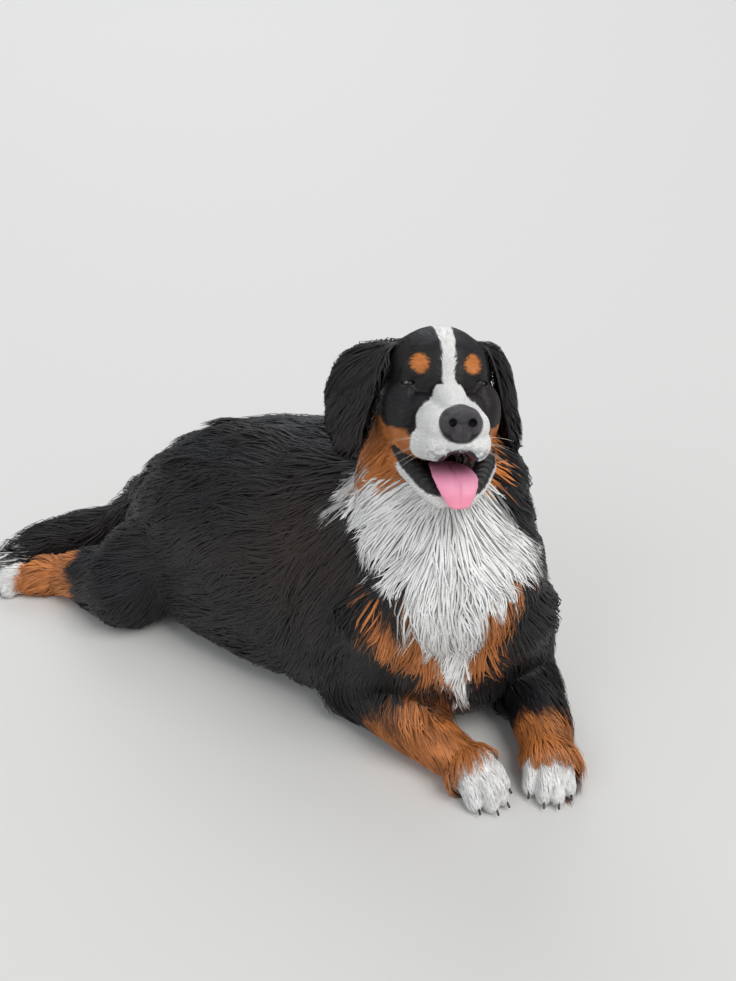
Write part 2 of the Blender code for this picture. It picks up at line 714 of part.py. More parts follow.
def grow_coat(cores):
    """The locks of every node that has them, each clear of all the other nodes and of their locks."""
    surface = outer_tree(cores.values())
    solid = {name: tree(obj.data) for name, obj in cores.items()}
    grown = {name: [] for name in LOCKS}
    for number, (name, (spacing, length, breadth, sink, rise)) in enumerate(LOCKS.items()):
        draw = np.random.default_rng(LOCK_SEED + number)
        for root, normal in scatter(cores[name], spacing, draw, surface):
            size, sway = draw.uniform(0.85, 1.15), draw.uniform(-1, 1) * LOCK_SWAY
            floor = draw.uniform(*LOCK_FLOOR)
            if surface.ray_cast(root + normal * 0.001, normal, 0.03)[0]:
                continue
            for shift, lift, trim in LOCK_TRIES:
                reach = length * size * trim
                path = lock_path(surface, name, root, normal, reach, sink, rise, sway, shift, lift)
                probe = BVHTree.FromPolygons(*blade(path, breadth * size, floor, 2 * GAP))
                others = [t for other, t in solid.items() if other != name]
                others += [
                    t for other, locks in grown.items() if other != name
                    for place, t, piece in locks if (place - root).length < 0.3
                ]
                shape = blade(path, breadth * size, floor)
                if not folded(*shape) and not any(probe.overlap(other) for other in others):
                    grown[name].append((root, BVHTree.FromPolygons(*shape), shape))
                    break
    return {name: [shape for root, t, shape in locks] for name, locks in grown.items()}


def dress(obj, locks):
    """Join the locks to their core as one closed body."""
    group = bpy.data.collections.new("locks")
    bpy.context.scene.collection.children.link(group)
    for places, faces in locks:
        mesh = bpy.data.meshes.new("lock")
        mesh.from_pydata(places, [], faces)
        group.objects.link(bpy.data.objects.new("lock", mesh))
    union = obj.modifiers.new("locks", "BOOLEAN")
    union.operation = "UNION"
    union.operand_type = "COLLECTION"
    union.collection = group
    union.solver = SOLVER
    apply_modifiers(obj)
    for piece in list(group.objects):
        bpy.data.objects.remove(piece)
    bpy.data.collections.remove(group)
    return keep_largest(obj)


def core_solids():
    """Every node's smooth core, cut to meet its neighbours face to face."""
    cores = {}
    moulds = {}

    def keep(obj, *neighbours):
        moulds[obj.name] = new_object("mould", obj.data.copy())
        cores[obj.name] = on_floor(cut(obj, [swollen(moulds[name], 1.3 * GAP) for name in neighbours]))

    keep(eyeball("eye_right", -1))
    keep(eyeball("eye_left", 1))
    keep(nose_pad())
    moulds["mouth"] = mouth_hollow()
    keep(head_core([cores["eye_right"], cores["eye_left"]], cores["nose"], moulds["mouth"]))
    keep(tongue_core(), "head")
    keep(jaw_core(), "head", "tongue")
    for obj in trunk_cores():
        keep(obj, *(("head", "mouth", "tongue", "jaw") if obj.name == "neck" else ()))
    for name in EARS:
        keep(ear_core(name), "head", "neck")
    for side, bones in (("right", FORE_RIGHT), ("left", FORE_LEFT)):
        leg = fuse("foreleg_" + side, limb(bones, FORE_RADII), 0.006, 5, 220)
        keep(leg, "chest", "barrel", "neck")
    for side, bones, shin in (("right", THIGH_RIGHT, SHANK_RIGHT), ("left", THIGH_LEFT, SHANK_LEFT)):
        keep(fuse("thigh_" + side, limb(bones, THIGH_RADII), 0.008, 5, 200), "barrel", "rump")
        keep(fuse("shank_" + side, limb(shin, SHANK_RADII), 0.006, 5, 150), "barrel", "rump", "thigh_" + side)
    for name in FEET:
        claws = [claw("claw_%s_%d" % (name, i + 1), *toe) for i, toe in enumerate(toe_roots(name))]
        side = name.split("_")[1]
        leg = ("foreleg_" if name.startswith("fore") else "shank_") + side
        before = ["forepaw_right"] if name == "forepaw_left" else []
        keep(foot_core(name, claws), leg, *before)
        for piece in claws:
            keep(piece, leg)
    tail = fuse("tail", limb(TAIL, TAIL_RADII), 0.007, 5, 200)
    keep(tail, "rump", "barrel", "thigh_right", "thigh_left", "shank_right", "hindpaw_right")
    for mould in moulds.values():
        bpy.data.objects.remove(mould)
    return cores


def paint(obj):
    """Give an object the material of its kind."""
    kind = obj.name.split("_")[0]
    name, (colour, roughness, kinds) = next(item for item in LOOKS.items() if kind in item[1][2])
    material = bpy.data.materials.get(name)
    if material is None:
        material = bpy.data.materials.new(name)
        material.use_nodes = True
        surface = material.node_tree.nodes["Principled BSDF"]
        surface.inputs["Base Color"].default_value = (*colour, 1)
        surface.inputs["Roughness"].default_value = roughness
    obj.data.materials.clear()
    obj.data.materials.append(material)


def build():
    for obj in list(bpy.data.objects):
        bpy.data.objects.remove(obj)
    cores = core_solids()
    locks = grow_coat(cores)
    dog = bpy.data.collections.new("bernese_mountain_dog")
    bpy.context.scene.collection.children.link(dog)
    for name, obj in cores.items():
        if name in LOCKS:
            dress(obj, locks[name])
        bpy.context.scene.collection.objects.unlink(obj)
        dog.objects.link(obj)
        paint(obj)


build()
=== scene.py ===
# A life-size Bernese mountain dog, lying with its head up: one skin, its coat in tufts, and the bare parts.
from math import copysign, cos, pi, radians, sin

import bmesh
import bpy
import numpy as np
from mathutils import Matrix, Vector
from mathutils.bvhtree import BVHTree
from mathutils.kdtree import KDTree


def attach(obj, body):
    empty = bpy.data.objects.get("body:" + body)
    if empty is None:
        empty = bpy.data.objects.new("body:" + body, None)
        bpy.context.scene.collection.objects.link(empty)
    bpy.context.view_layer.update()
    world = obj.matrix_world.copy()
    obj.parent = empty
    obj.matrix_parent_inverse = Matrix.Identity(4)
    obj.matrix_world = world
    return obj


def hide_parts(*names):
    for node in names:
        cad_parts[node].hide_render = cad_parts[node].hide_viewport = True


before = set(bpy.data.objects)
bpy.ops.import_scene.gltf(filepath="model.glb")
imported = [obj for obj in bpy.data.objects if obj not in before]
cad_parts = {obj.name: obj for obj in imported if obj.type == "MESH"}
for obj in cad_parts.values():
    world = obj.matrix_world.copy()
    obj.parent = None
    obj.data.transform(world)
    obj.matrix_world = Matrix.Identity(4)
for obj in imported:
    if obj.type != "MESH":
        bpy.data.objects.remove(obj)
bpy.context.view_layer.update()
print("frame loaded:", len(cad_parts), "nodes")

down = Vector((0, 0, -1))

# Camera, where the picture was taken from.
view = {"place": (0.095, -1.235, 1.061), "tip": 58, "lens": 33.03}
cameraData = bpy.data.cameras.new("camera")
cameraData.lens = view["lens"]
cameraData.sensor_width = 36
camera = bpy.data.objects.new("camera", cameraData)
camera.location = view["place"]
camera.rotation_euler = (radians(view["tip"]), 0, 0)
bpy.context.scene.collection.objects.link(camera)
bpy.context.scene.camera = camera

# Head: the point between the eyes, and its turn, lift and tilt in degrees. Places on it are in centimetres.
head = {"at": (0.196, -0.172, 0.553), "turn": 6.8, "lift": 27.0, "tilt": -3.4}
headAt = Vector(head["at"])
turn, lift, tilt = (radians(head[key]) for key in ("turn", "lift", "tilt"))
forward = Vector((sin(turn) * cos(lift), -cos(turn) * cos(lift), sin(lift)))
level = Vector((cos(turn), sin(turn), 0))
upright = forward.cross(level)
headUp = upright * cos(tilt) - level * sin(tilt)
headSide = level * cos(tilt) + upright * sin(tilt)
headTurn = np.array([forward, headSide, headUp])


def onHead(f, s, u):
    return headAt + (forward * f + headSide * s + headUp * u) * 0.01


def toHead(places):
    return (np.asarray(places) - np.array(headAt)) @ headTurn.T * 100


def addObject(name, mesh):
    obj = bpy.data.objects.new(name, mesh)
    bpy.context.scene.collection.objects.link(obj)
    return obj


def fromBmesh(name, shape):
    mesh = bpy.data.meshes.new(name)
    shape.to_mesh(mesh)
    shape.free()
    return addObject(name, mesh)


def applyModifiers(obj):
    graph = bpy.context.evaluated_depsgraph_get()
    mesh = bpy.data.meshes.new_from_object(obj.evaluated_get(graph))
    obj.modifiers.clear()
    mesh.materials.clear()
    obj.data = mesh
    return obj


def turnTo(along, up=(0, 0, 1)):
    x = Vector(along).normalized()
    y = Vector(up).cross(x).normalized()
    return Matrix((x, y, x.cross(y))).transposed().to_4x4()


def lump(centre, radii, along=(1, 0, 0), up=(0, 0, 1), under=0.0):
    size = [max(r - under, 0.002) for r in radii]
    return Matrix.Translation(Vector(centre)) @ turnTo(along, up) @ Matrix.Diagonal((*size, 1))


def headLump(place, radii, under=0.0):
    return lump(onHead(*place), [r * 0.01 for r in radii], forward, headUp, under)


def limb(points, radii, under=0.0, up=(0, 0, 1)):
    # A round tapered length through the points, as a row of balls.
    lumps = []
    for (a, b), (r, s) in zip(zip(points, points[1:]), zip(radii, radii[1:])):
        a, b = Vector(a), Vector(b)
        count = max(3, int((b - a).length / (0.25 * min(r, s))))
        for i in range(count):
            t = i / (count - 1)
            lumps.append(lump(a.lerp(b, t), (r + (s - r) * t,) * 3, b - a, up, under))
    return lumps


def headLimb(points, radii, under=0.0):
    return limb([onHead(*p) for p in points], [r * 0.01 for r in radii], under, headUp)


def balls(name, lumps, segments=24):
    ball = bmesh.new()
    bmesh.ops.create_uvsphere(ball, u_segments=segments, v_segments=segments * 2 // 3, radius=1)
    template = bpy.data.meshes.new("ball")
    ball.to_mesh(template)
    ball.free()
    shape = bmesh.new()
    for matrix in lumps:
        mesh = template.copy()
        mesh.transform(matrix)
        shape.from_mesh(mesh)
        bpy.data.meshes.remove(mesh)
    return fromBmesh(name, shape)


def soften(obj, voxel, smoothing):
    remesh = obj.modifiers.new("skin", "REMESH")
    remesh.mode = "VOXEL"
    remesh.voxel_size = voxel
    smooth = obj.modifiers.new("smooth", "SMOOTH")
    smooth.factor = 0.5
    smooth.iterations = smoothing
    return applyModifiers(obj)


def joined(name, objects):
    shape = bmesh.new()
    for obj in objects:
        shape.from_mesh(obj.data)
        bpy.data.objects.remove(obj)
    return fromBmesh(name, shape)


def combine(obj, others, how):
    for other in others:
        boolean = obj.modifiers.new("combine", "BOOLEAN")
        boolean.operation = how
        boolean.solver = "MANIFOLD"
        boolean.object = other
        applyModifiers(obj)
        bpy.data.objects.remove(other)
    return obj


def treeOf(meshes):
    # One search tree over several meshes, and the mesh that each of its faces comes from.
    points, faces, owners = [], [], []
    for k, mesh in enumerate(meshes):
        offset = len(points)
        points += [v.co[:] for v in mesh.vertices]
        faces += [[offset + i for i in p.vertices] for p in mesh.polygons]
        owners += [k] * len(mesh.polygons)
    return BVHTree.FromPolygons(points, faces), np.array(owners)


def wallBetween(shape, rings):
    # Faces from each ring to the next, closed at both ends.
    count = len(rings[0])
    for a, b in zip(rings, rings[1:]):
        for k in range(count):
            shape.faces.new((a[k], a[(k + 1) % count], b[(k + 1) % count], b[k]))
    shape.faces.new(rings[0][::-1])
    shape.faces.new(rings[-1])


def smoothRows(rows, steps):
    rows = np.array(rows, float)
    padded = np.vstack([2 * rows[0] - rows[1], rows, 2 * rows[-1] - rows[-2]])
    out = []
    for i in range(len(rows) - 1):
        p0, p1, p2, p3 = padded[i : i + 4]
        for t in np.arange(steps) / steps:
            a, b = 2 * p1, p2 - p0
            c, d = 2 * p0 - 5 * p1 + 4 * p2 - p3, 3 * p1 - p0 - 3 * p2 + p3
            out.append((a + b * t + c * t**2 + d * t**3) / 2)
    return np.array(out + [rows[-1]])


# Trunk: the middle of each section, half width, top, bottom and squareness, as the coat's outline has them.
trunk = {
    "sections": (
        ((0.224, -0.277), 0.038, 0.257, 0.133, 2.0),
        ((0.221, -0.258), 0.090, 0.309, 0.067, 2.0),
        ((0.211, -0.204), 0.138, 0.366, 0.019, 2.1),
        ((0.170, -0.130), 0.166, 0.400, 0.004, 2.6),
        ((0.094, -0.056), 0.178, 0.403, -0.004, 3.2),
        ((0.004, 0.006), 0.180, 0.388, -0.004, 3.4),
        ((-0.087, 0.058), 0.171, 0.366, -0.004, 3.4),
        ((-0.175, 0.105), 0.150, 0.326, -0.002, 3.4),
        ((-0.245, 0.144), 0.120, 0.274, 0.006, 3.0),
        ((-0.296, 0.167), 0.074, 0.214, 0.038, 2.4),
        ((-0.319, 0.179), 0.028, 0.168, 0.086, 2.0),
    ),
    "waist": 0.40,
    "under": 0.011,
    "around": 40,
    "upperSquare": 2.1,
    "shoulders": (
        ((0.095, -0.150, 0.205), (0.10, 0.068, 0.13), (0.3, -0.6, 0)),
        ((0.300, -0.135, 0.215), (0.10, 0.056, 0.12), (0.1, -0.9, 0)),
        ((0.130, -0.040, 0.315), (0.11, 0.11, 0.085), (1, 0, 0)),
    ),
    "shouldersUnder": 0.010,
}
trunkRows = smoothRows([(*middle, *rest) for middle, *rest in trunk["sections"]], 4)
trunkHeading = np.gradient(trunkRows[:, :2], axis=0)
trunkHeading /= np.linalg.norm(trunkHeading, axis=1)[:, None]


def trunkShell(under):
    shape = bmesh.new()
    rings = []
    for (x, y, width, top, bottom, square), (hx, hy) in zip(trunkRows[2:-2], trunkHeading[2:-2]):
        ring = []
        width, top, bottom = max(width - under, 0.012), top - under, bottom + under * 0.7
        middle = bottom + (top - bottom) * trunk["waist"]
        for k in range(trunk["around"]):
            angle = 2 * pi * k / trunk["around"]
            power = 2 / (trunk["upperSquare"] if sin(angle) > 0 else square)
            across = copysign(abs(cos(angle)) ** power, cos(angle)) * width
            rise = copysign(abs(sin(angle)) ** power, sin(angle))
            z = middle + rise * ((top - middle) if rise > 0 else (middle - bottom))
            ring.append(shape.verts.new((x + hy * across, y - hx * across, z)))
        rings.append(ring)
    wallBetween(shape, rings)
    bmesh.ops.recalc_face_normals(shape, faces=shape.faces)
    return fromBmesh("trunkShell", shape)


# Legs as bones with the flesh round each joint.
legs = {
    "foreRight": (
        (0.128, -0.222, 0.222), (0.080, -0.190, 0.057), (0.155, -0.268, 0.048), (0.226, -0.330, 0.036),
    ),
    "foreLeft": (
        (0.288, -0.202, 0.215), (0.328, -0.142, 0.057), (0.348, -0.228, 0.048), (0.355, -0.312, 0.036),
    ),
    "foreRadii": (0.074, 0.058, 0.048, 0.037),
    "thighRight": ((-0.190, 0.105, 0.157), (-0.328, 0.038, 0.072)),
    "thighLeft": ((-0.142, 0.226, 0.142), (0.000, 0.262, 0.112)),
    "thighRadii": (0.104, 0.074),
    "shankRight": ((-0.328, 0.040, 0.070), (-0.405, 0.080, 0.052), (-0.475, 0.112, 0.037)),
    "shankLeft": ((0.000, 0.268, 0.095), (-0.095, 0.315, 0.052), (-0.185, 0.345, 0.035)),
    "shankRadii": (0.066, 0.050, 0.038),
    "foreUnder": 0.008,
    "thighUnder": 0.010,
    "shankUnder": 0.008,
}
# Feet as heel, front of the toes and half breadth; lumps of the sole as shares of the foot, and of each toe.
feet = {
    "forepaw_right": ((0.240, -0.340), (0.284, -0.397), 0.040),
    "forepaw_left": ((0.357, -0.322), (0.354, -0.392), 0.040),
    "hindpaw_right": ((-0.492, 0.114), (-0.606, 0.108), 0.033),
    "hindpaw_left": ((-0.180, 0.364), (-0.070, 0.398), 0.033),
}
footForm = {
    "sole": ((0.10, 0.033, 0.45, 0.95, 0.033), (0.45, 0.018, 0.35, 0.9, 0.020)),
    "toe": ((0.032, 0.029, (0.024, 0.0125, 0.019)), (0.016, 0.0155, (0.0165, 0.0115, 0.0175))),
    "toes": ((-0.75, 0.016), (-0.26, 0.0), (0.26, 0.0), (0.75, 0.016)),
    "splay": 0.25,
    "under": 0.002,
}
tail = {
    "line": (
        (-0.300, 0.190, 0.150), (-0.399, 0.250, 0.050), (-0.494, 0.243, 0.036), (-0.612, 0.188, 0.022),
    ),
    "radii": (0.052, 0.044, 0.039, 0.024),
    "under": 0.018,
}
neck = {
    "line": ((0.211, -0.190, 0.285), (0.200, -0.138, 0.375), (0.187, -0.084, 0.466)),
    "radii": (0.128, 0.120, 0.092),
    "under": 0.012,
}
# Eyes, in centimetres on the head, and how many degrees each looks outward.
eyes = {
    "ball": 1.18, "lid": 0.28, "back": -1.7, "side": 4.55, "rise": 0.75, "turn": 16,
    "opening": (1.3, 1.02, 0.35), "openingAhead": 1.2, "slack": 0.0002,
}


def footLine(name):
    heel, toe, breadth = feet[name]
    heel, toe = Vector((*heel, 0)), Vector((*toe, 0))
    return heel, toe, (toe - heel).normalized(), breadth


def toeRoots(name):
    _, toe, ahead, breadth = footLine(name)
    across = Vector((ahead.y, -ahead.x, 0))
    for place, back in footForm["toes"]:
        root = toe + across * (place * breadth) - ahead * back
        yield root, (ahead + across * (place * footForm["splay"])).normalized()


def footLumps(name):
    heel, toe, ahead, breadth = footLine(name)
    length, under = (toe - heel).length, footForm["under"]
    lumps = []
    for share, rise, long, wide, thick in footForm["sole"]:
        centre = heel.lerp(toe, share) + Vector((0, 0, rise))
        lumps.append(lump(centre, (length * long, breadth * wide, thick), ahead, under=under))
    for root, points in toeRoots(name):
        for back, rise, radii in footForm["toe"]:
            lumps.append(lump(root - points * back + Vector((0, 0, rise)), radii, points, under=under))
    return lumps


# How fine each stretch of skin is, and how often it is smoothed.
skinForm = {"body": (0.0065, 8), "paws": (0.0022, 3), "head": (0.0018, 18), "mouth": (0.003, 4)}


def bodySkin():
    lumps = limb(neck["line"], neck["radii"], neck["under"])
    for centre, radii, way in trunk["shoulders"]:
        lumps.append(lump(centre, radii, way, under=trunk["shouldersUnder"]))
    for side in ("Right", "Left"):
        for part in ("fore", "thigh", "shank"):
            lumps += limb(legs[part + side], legs[part + "Radii"], legs[part + "Under"])
    lumps += limb(tail["line"], tail["radii"], tail["under"])
    body = soften(joined("body", [trunkShell(trunk["under"]), balls("flesh", lumps)]), *skinForm["body"])
    paws = soften(balls("paws", [place for name in feet for place in footLumps(name)]), *skinForm["paws"])
    return combine(body, [paws], "UNION")


def eyeLook(side):
    angle = radians(eyes["turn"])
    return forward * cos(angle) + headSide * (side * sin(angle))


def eyePlace(side, ahead=0.0):
    return onHead(eyes["back"], side * eyes["side"], eyes["rise"]) + eyeLook(side) * (ahead * 0.01)


# Ears: the middle line and half width in centimetres, and the way from the front edge to the rear one.
ears = {
    "ear_right": (
        ((-7.0, -5.4, 6.0, 3.0), (-7.2, -9.2, 5.6, 4.2), (-6.8, -11.6, 2.4, 4.7), (-6.2, -12.5, -2.2, 4.0),
         (-5.4, -12.5, -6.0, 2.6), (-5.0, -12.3, -8.0, 0.8)),
        (-0.72, -0.68, -0.1),
    ),
    "ear_left": (
        ((-7.0, 5.4, 6.0, 3.0), (-7.4, 8.2, 5.2, 4.2), (-7.2, 9.7, 2.0, 4.7), (-6.8, 10.4, -2.2, 4.0),
         (-6.2, 10.7, -5.6, 2.6), (-5.8, 10.8, -7.6, 0.8)),
        (-0.93, 0.35, -0.1),
    ),
}
# The leaf starts short of the front edge; its edges curl in by the cup where the half width is 4 cm.
earForm = {"front": -0.9, "across": 13, "cup": 0.009, "thickness": 0.0052}


def earLeaf(name):
    rows, across = ears[name]
    outward = headSide * copysign(1, rows[0][1])
    rearward = (forward * across[0] + headSide * across[1] + headUp * across[2]).normalized()
    shape = bmesh.new()
    grid = []
    for f, s, u, width in smoothRows(rows, 5)[:-1]:
        line = []
        for t in np.linspace(earForm["front"], 1, earForm["across"]):
            place = onHead(f, s, u) + rearward * (t * width * 0.01)
            line.append(shape.verts.new(place - outward * (earForm["cup"] * t * t * width / 4)))
        grid.append(line)
    for a, b in zip(grid, grid[1:]):
        for k in range(len(a) - 1):
            shape.faces.new((a[k], a[k + 1], b[k + 1], b[k]))
    leaf = fromBmesh(name + "Leaf", shape)
    solid = leaf.modifiers.new("thickness", "SOLIDIFY")
    solid.thickness = earForm["thickness"]
    solid.offset = 0
    return applyModifiers(leaf)


# Head: lumps and rows of lumps in centimetres, and how far in metres the coat's depth takes each inward.
headForm = {
    "middle": (
        ((-6.0, 0, 1.8), (7.8, 7.2, 7.0), 0.002),
        ((-3.4, 0, 3.6), (5.0, 5.4, 4.0), 0.002),
        ((-11.0, 0, -1.5), (4.5, 5.6, 5.6), 0.008),
        ((-6.0, 0, -8.6), (4.6, 5.4, 4.6), 0.008),
        ((1.2, 0, -12.6), (3.6, 3.8, 1.7), 0.002),
    ),
    "sides": (
        ((-1.6, 3.2, 2.2), (2.6, 2.7, 2.0), 0.002),
        ((-3.6, 5.0, -3.0), (5.0, 3.2, 4.6), 0.002),
        ((-2.4, 5.0, -0.8), (3.4, 1.9, 2.2), 0.003),
        ((0.4, 3.1, -2.4), (2.4, 2.0, 2.0), 0.002),
    ),
    "sideRows": (
        (((0.5, 2.2, -3.8), (8.2, 1.9, -4.8)), (2.7, 2.2), 0.002),
        (((-1.5, 4.4, -6.2), (3.6, 3.2, -7.0), (7.8, 2.2, -7.2)), (2.4, 2.2, 2.1), 0.002),
        (
            ((-5.0, 4.2, -8.4), (-1.5, 5.2, -8.3), (1.5, 5.0, -10.0), (4.2, 3.4, -12.2), (6.0, 1.6, -13.8)),
            (2.6, 1.9, 1.5, 1.4, 1.3),
            0.001,
        ),
    ),
    "middleRows": (
        (((-1.2, 0, -0.1), (8.6, 0, -3.7)), (2.5, 2.1), 0.002),
        (((-4, 0, -11.0), (3.6, 0, -13.4)), (3.2, 1.9), 0.002),
    ),
    "tip": ((8.7, 0, -6.9), (1.7, 2.0, 1.35)),
    "mouth": (((-3.0, 0, -9.3), (4.0, 0, -9.6), (10.5, 0, -10.0)), (2.7, 2.4, 1.9)),
}


def headSkin():
    lumps = [headLump(*row) for row in headForm["middle"]]
    lidRadii = (eyes["ball"] + eyes["lid"],) * 3
    for side in (-1, 1):
        lumps += [headLump((f, side * s, u), radii, under) for (f, s, u), radii, under in headForm["sides"]]
        lumps.append(headLump((eyes["back"], side * eyes["side"], eyes["rise"]), lidRadii))
        for line, radii, under in headForm["sideRows"]:
            lumps += headLimb([(f, side * s, u) for f, s, u in line], radii, under)
    for row in headForm["middleRows"]:
        lumps += headLimb(*row)
    lumps.append(headLump(*headForm["tip"]))
    pieces = [balls("skull", lumps)] + [earLeaf(name) for name in ears]
    skull = soften(joined("skull", pieces), *skinForm["head"])
    mouth = soften(balls("mouth", headLimb(*headForm["mouth"])), *skinForm["mouth"])
    again = addObject("mouthAgain", mouth.data.copy())
    radii = [r * 0.01 for r in eyes["opening"]]
    openings = []
    for side in (-1, 1):
        place = lump(eyePlace(side, eyes["openingAhead"]), radii, eyeLook(side), headUp)
        openings.append(balls("opening", [place], 32))
    socket = (eyes["ball"] * 0.01 + eyes["slack"],) * 3
    sockets = [balls("socket", [lump(eyePlace(side), socket)], 32) for side in (-1, 1)]
    trees = treeOf([mouth.data])[0], treeOf([opening.data for opening in openings])[0]
    combine(skull, [mouth, *sockets, *openings], "DIFFERENCE")
    return skull, again, *trees


skull, mouthAgain, mouthTree, rimTree = headSkin()
print("head skin:", len(skull.data.polygons), "faces")
skin = combine(combine(bodySkin(), [skull], "UNION"), [mouthAgain], "DIFFERENCE")
skin.name = "skin"
print("skin:", len(skin.data.polygons), "faces")


def vertexArray(mesh, key="co"):
    values = np.empty(len(mesh.vertices) * 3)
    mesh.vertices.foreach_get(key, values)
    return values.reshape(-1, 3)


class Field:
    # The skin as arrays: places and normals, and values spread over its corners.
    def __init__(self, mesh):
        mesh.calc_loop_triangles()
        self.places = vertexArray(mesh)
        self.normals = vertexArray(mesh, "normal")
        corners = np.empty(len(mesh.loop_triangles) * 3, np.int64)
        mesh.loop_triangles.foreach_get("vertices", corners)
        self.corners = corners.reshape(-1, 3)
        edges = np.empty(len(mesh.edges) * 2, np.int64)
        mesh.edges.foreach_get("vertices", edges)
        self.edges = edges.reshape(-1, 2)
        self.links = np.bincount(self.edges.ravel(), minlength=len(self.places))
        self.tree = BVHTree.FromPolygons(self.places.tolist(), self.corners.tolist())

    def spread(self, values, steps):
        # Blend values with those of neighbouring corners.
        values = np.array(values, float)
        flat = values.reshape(len(values), -1)
        a, b = self.edges.T
        for _ in range(steps):
            for k in range(flat.shape[1]):
                total = np.bincount(a, flat[b, k], len(flat)) + np.bincount(b, flat[a, k], len(flat))
                flat[:, k] = 0.4 * flat[:, k] + 0.6 * total / np.maximum(self.links, 1)
        return flat.reshape(values.shape)

    def at(self, values, faces, weights):
        return (values[self.corners[faces]] * weights[..., None]).sum(axis=1)

    def nearest(self, places):
        # Closest places on the skin and the triangles that hold them.
        found = [self.tree.find_nearest(place) for place in places.tolist()]
        return np.array([hit[0][:] for hit in found]), np.array([hit[2] for hit in found])


def unit(vectors):
    return vectors / np.maximum(np.linalg.norm(vectors, axis=-1, keepdims=True), 1e-9)


def ripple(places, size, seed):
    # Smooth random values from about -1 to 1 that change over the given size.
    draw = np.random.default_rng(seed)
    total = 0
    for _ in range(6):
        way = draw.normal(size=3)
        way *= 2 * pi / size / np.linalg.norm(way) * draw.uniform(0.5, 1.3)
        total = total + np.sin(places @ way + draw.uniform(0, 2 * pi))
    return total / 2.6


def smoothStep(values, low, high):
    t = np.clip((values - low) / (high - low), 0, 1)
    return t * t * (3 - 2 * t)


# Which part of the body each corner of the skin belongs to.
fleshNodes = [
    "head", "jaw", "neck", "chest", "barrel", "rump", "ear_right", "ear_left",
    "foreleg_right", "foreleg_left", "thigh_right", "thigh_left", "shank_right", "shank_left",
    "forepaw_right", "forepaw_left", "hindpaw_right", "hindpaw_left", "tail",
]
fleshIndex = {name: k for k, name in enumerate(fleshNodes)}
partNames = np.array(fleshNodes)


field = Field(skin.data)
nodeTree, nodeOwners = treeOf([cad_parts[name].data for name in fleshNodes])
region = nodeOwners[[nodeTree.find_nearest(place)[2] for place in field.places.tolist()]]
print("regions found")

# Coat of each part: spacing of the tufts, length, height above the skin, breadth, and how far they clump.
coat = {
    "neck": (0.0036, 0.095, 0.021, 0.0029, 0.70),
    "chest": (0.0039, 0.095, 0.019, 0.0030, 0.70),
    "barrel": (0.0042, 0.100, 0.020, 0.0031, 0.65),
    "rump": (0.0043, 0.095, 0.021, 0.0031, 0.65),
    "thigh": (0.0041, 0.085, 0.020, 0.0030, 0.65),
    "shank": (0.0042, 0.045, 0.012, 0.0026, 0.40),
    "tail": (0.0041, 0.095, 0.032, 0.0029, 0.65),
    "foreleg": (0.0034, 0.032, 0.007, 0.0021, 0.35),
    "forepaw": (0.0026, 0.016, 0.0030, 0.0016, 0.15),
    "hindpaw": (0.0028, 0.016, 0.0030, 0.0017, 0.15),
    "head": (0.0020, 0.013, 0.0016, 0.0012, 0.15),
    "jaw": (0.0026, 0.018, 0.0035, 0.0016, 0.20),
    "ear": (0.0028, 0.052, 0.0100, 0.0019, 0.60),
}


def along(line, places):
    # The way along the nearest stretch of a line.
    spans = np.array([(a, b) for a, b in zip(line, line[1:])])
    gaps = np.linalg.norm(spans.mean(axis=1)[None] - places[:, None], axis=2)
    return unit((spans[:, 1] - spans[:, 0])[gaps.argmin(axis=1)])


def rearwardAt(places):
    gaps = ((trunkRows[None, :, :2] - places[:, None, :2]) ** 2).sum(axis=2)
    heading = trunkHeading[gaps.argmin(axis=1)]
    return np.column_stack([heading, np.zeros(len(places))])


def lieField(places, normals, region, onHeadPlaces):
    # The way the coat lies at every corner of the skin.
    drop = np.array(down)
    ahead, aside, above = (np.array(v) for v in (forward, headSide, headUp))
    lie = rearwardAt(places) + drop * 0.55
    for name, k in fleshIndex.items():
        own = region == k
        here = places[own]
        if name == "tail":
            lie[own] = along(tail["line"], here)
        elif name.startswith("ear"):
            lie[own] = drop - ahead * 0.15
        elif name.startswith("foreleg") or name.startswith("forepaw"):
            right = name.endswith("right")
            toe = feet["forepaw_right" if right else "forepaw_left"][1]
            line = (*legs["foreRight" if right else "foreLeft"], (*toe, 0.0))
            lie[own] = along(line, here) * 0.9 + np.array((-0.25 if right else 0.25, 0.15, -0.35))
        elif name.startswith("shank") or name.startswith("hindpaw"):
            right = name.endswith("right")
            toe = feet["hindpaw_right" if right else "hindpaw_left"][1]
            line = (*legs["shankRight" if right else "shankLeft"], (*toe, 0.0))
            lie[own] = along(line, here) + drop * 0.4
        elif name in ("neck", "chest"):
            lie[own] = rearwardAt(here) * 0.45 + drop
        elif name.startswith("thigh"):
            lie[own] = rearwardAt(here) * 0.9 + drop * 0.7
        elif name in ("head", "jaw"):
            # Away from the nose, parting along the middle of the face, then down the cheeks.
            f, s, u = onHeadPlaces[own].T
            out = np.clip(s / 5, -1, 1)
            cheek = smoothStep(-f, -1.0, 5.0)[:, None] * smoothStep(-u, -1.0, 5.0)[:, None]
            swept = aside * out[:, None] * 0.8 - ahead + above * smoothStep(f, -3, 3)[:, None] * 0.35
            lie[own] = swept * (1 - 0.55 * cheek) + drop * cheek * 0.8 - above * np.abs(out)[:, None] * 0.35
    lie -= normals * (lie * normals).sum(axis=1)[:, None]
    return unit(field.spread(unit(lie), 14))


headPlaces = toHead(field.places)
lie = lieField(field.places, field.normals, region, headPlaces)
form = np.array([coat[name.split("_")[0]] for name in fleshNodes])[region]

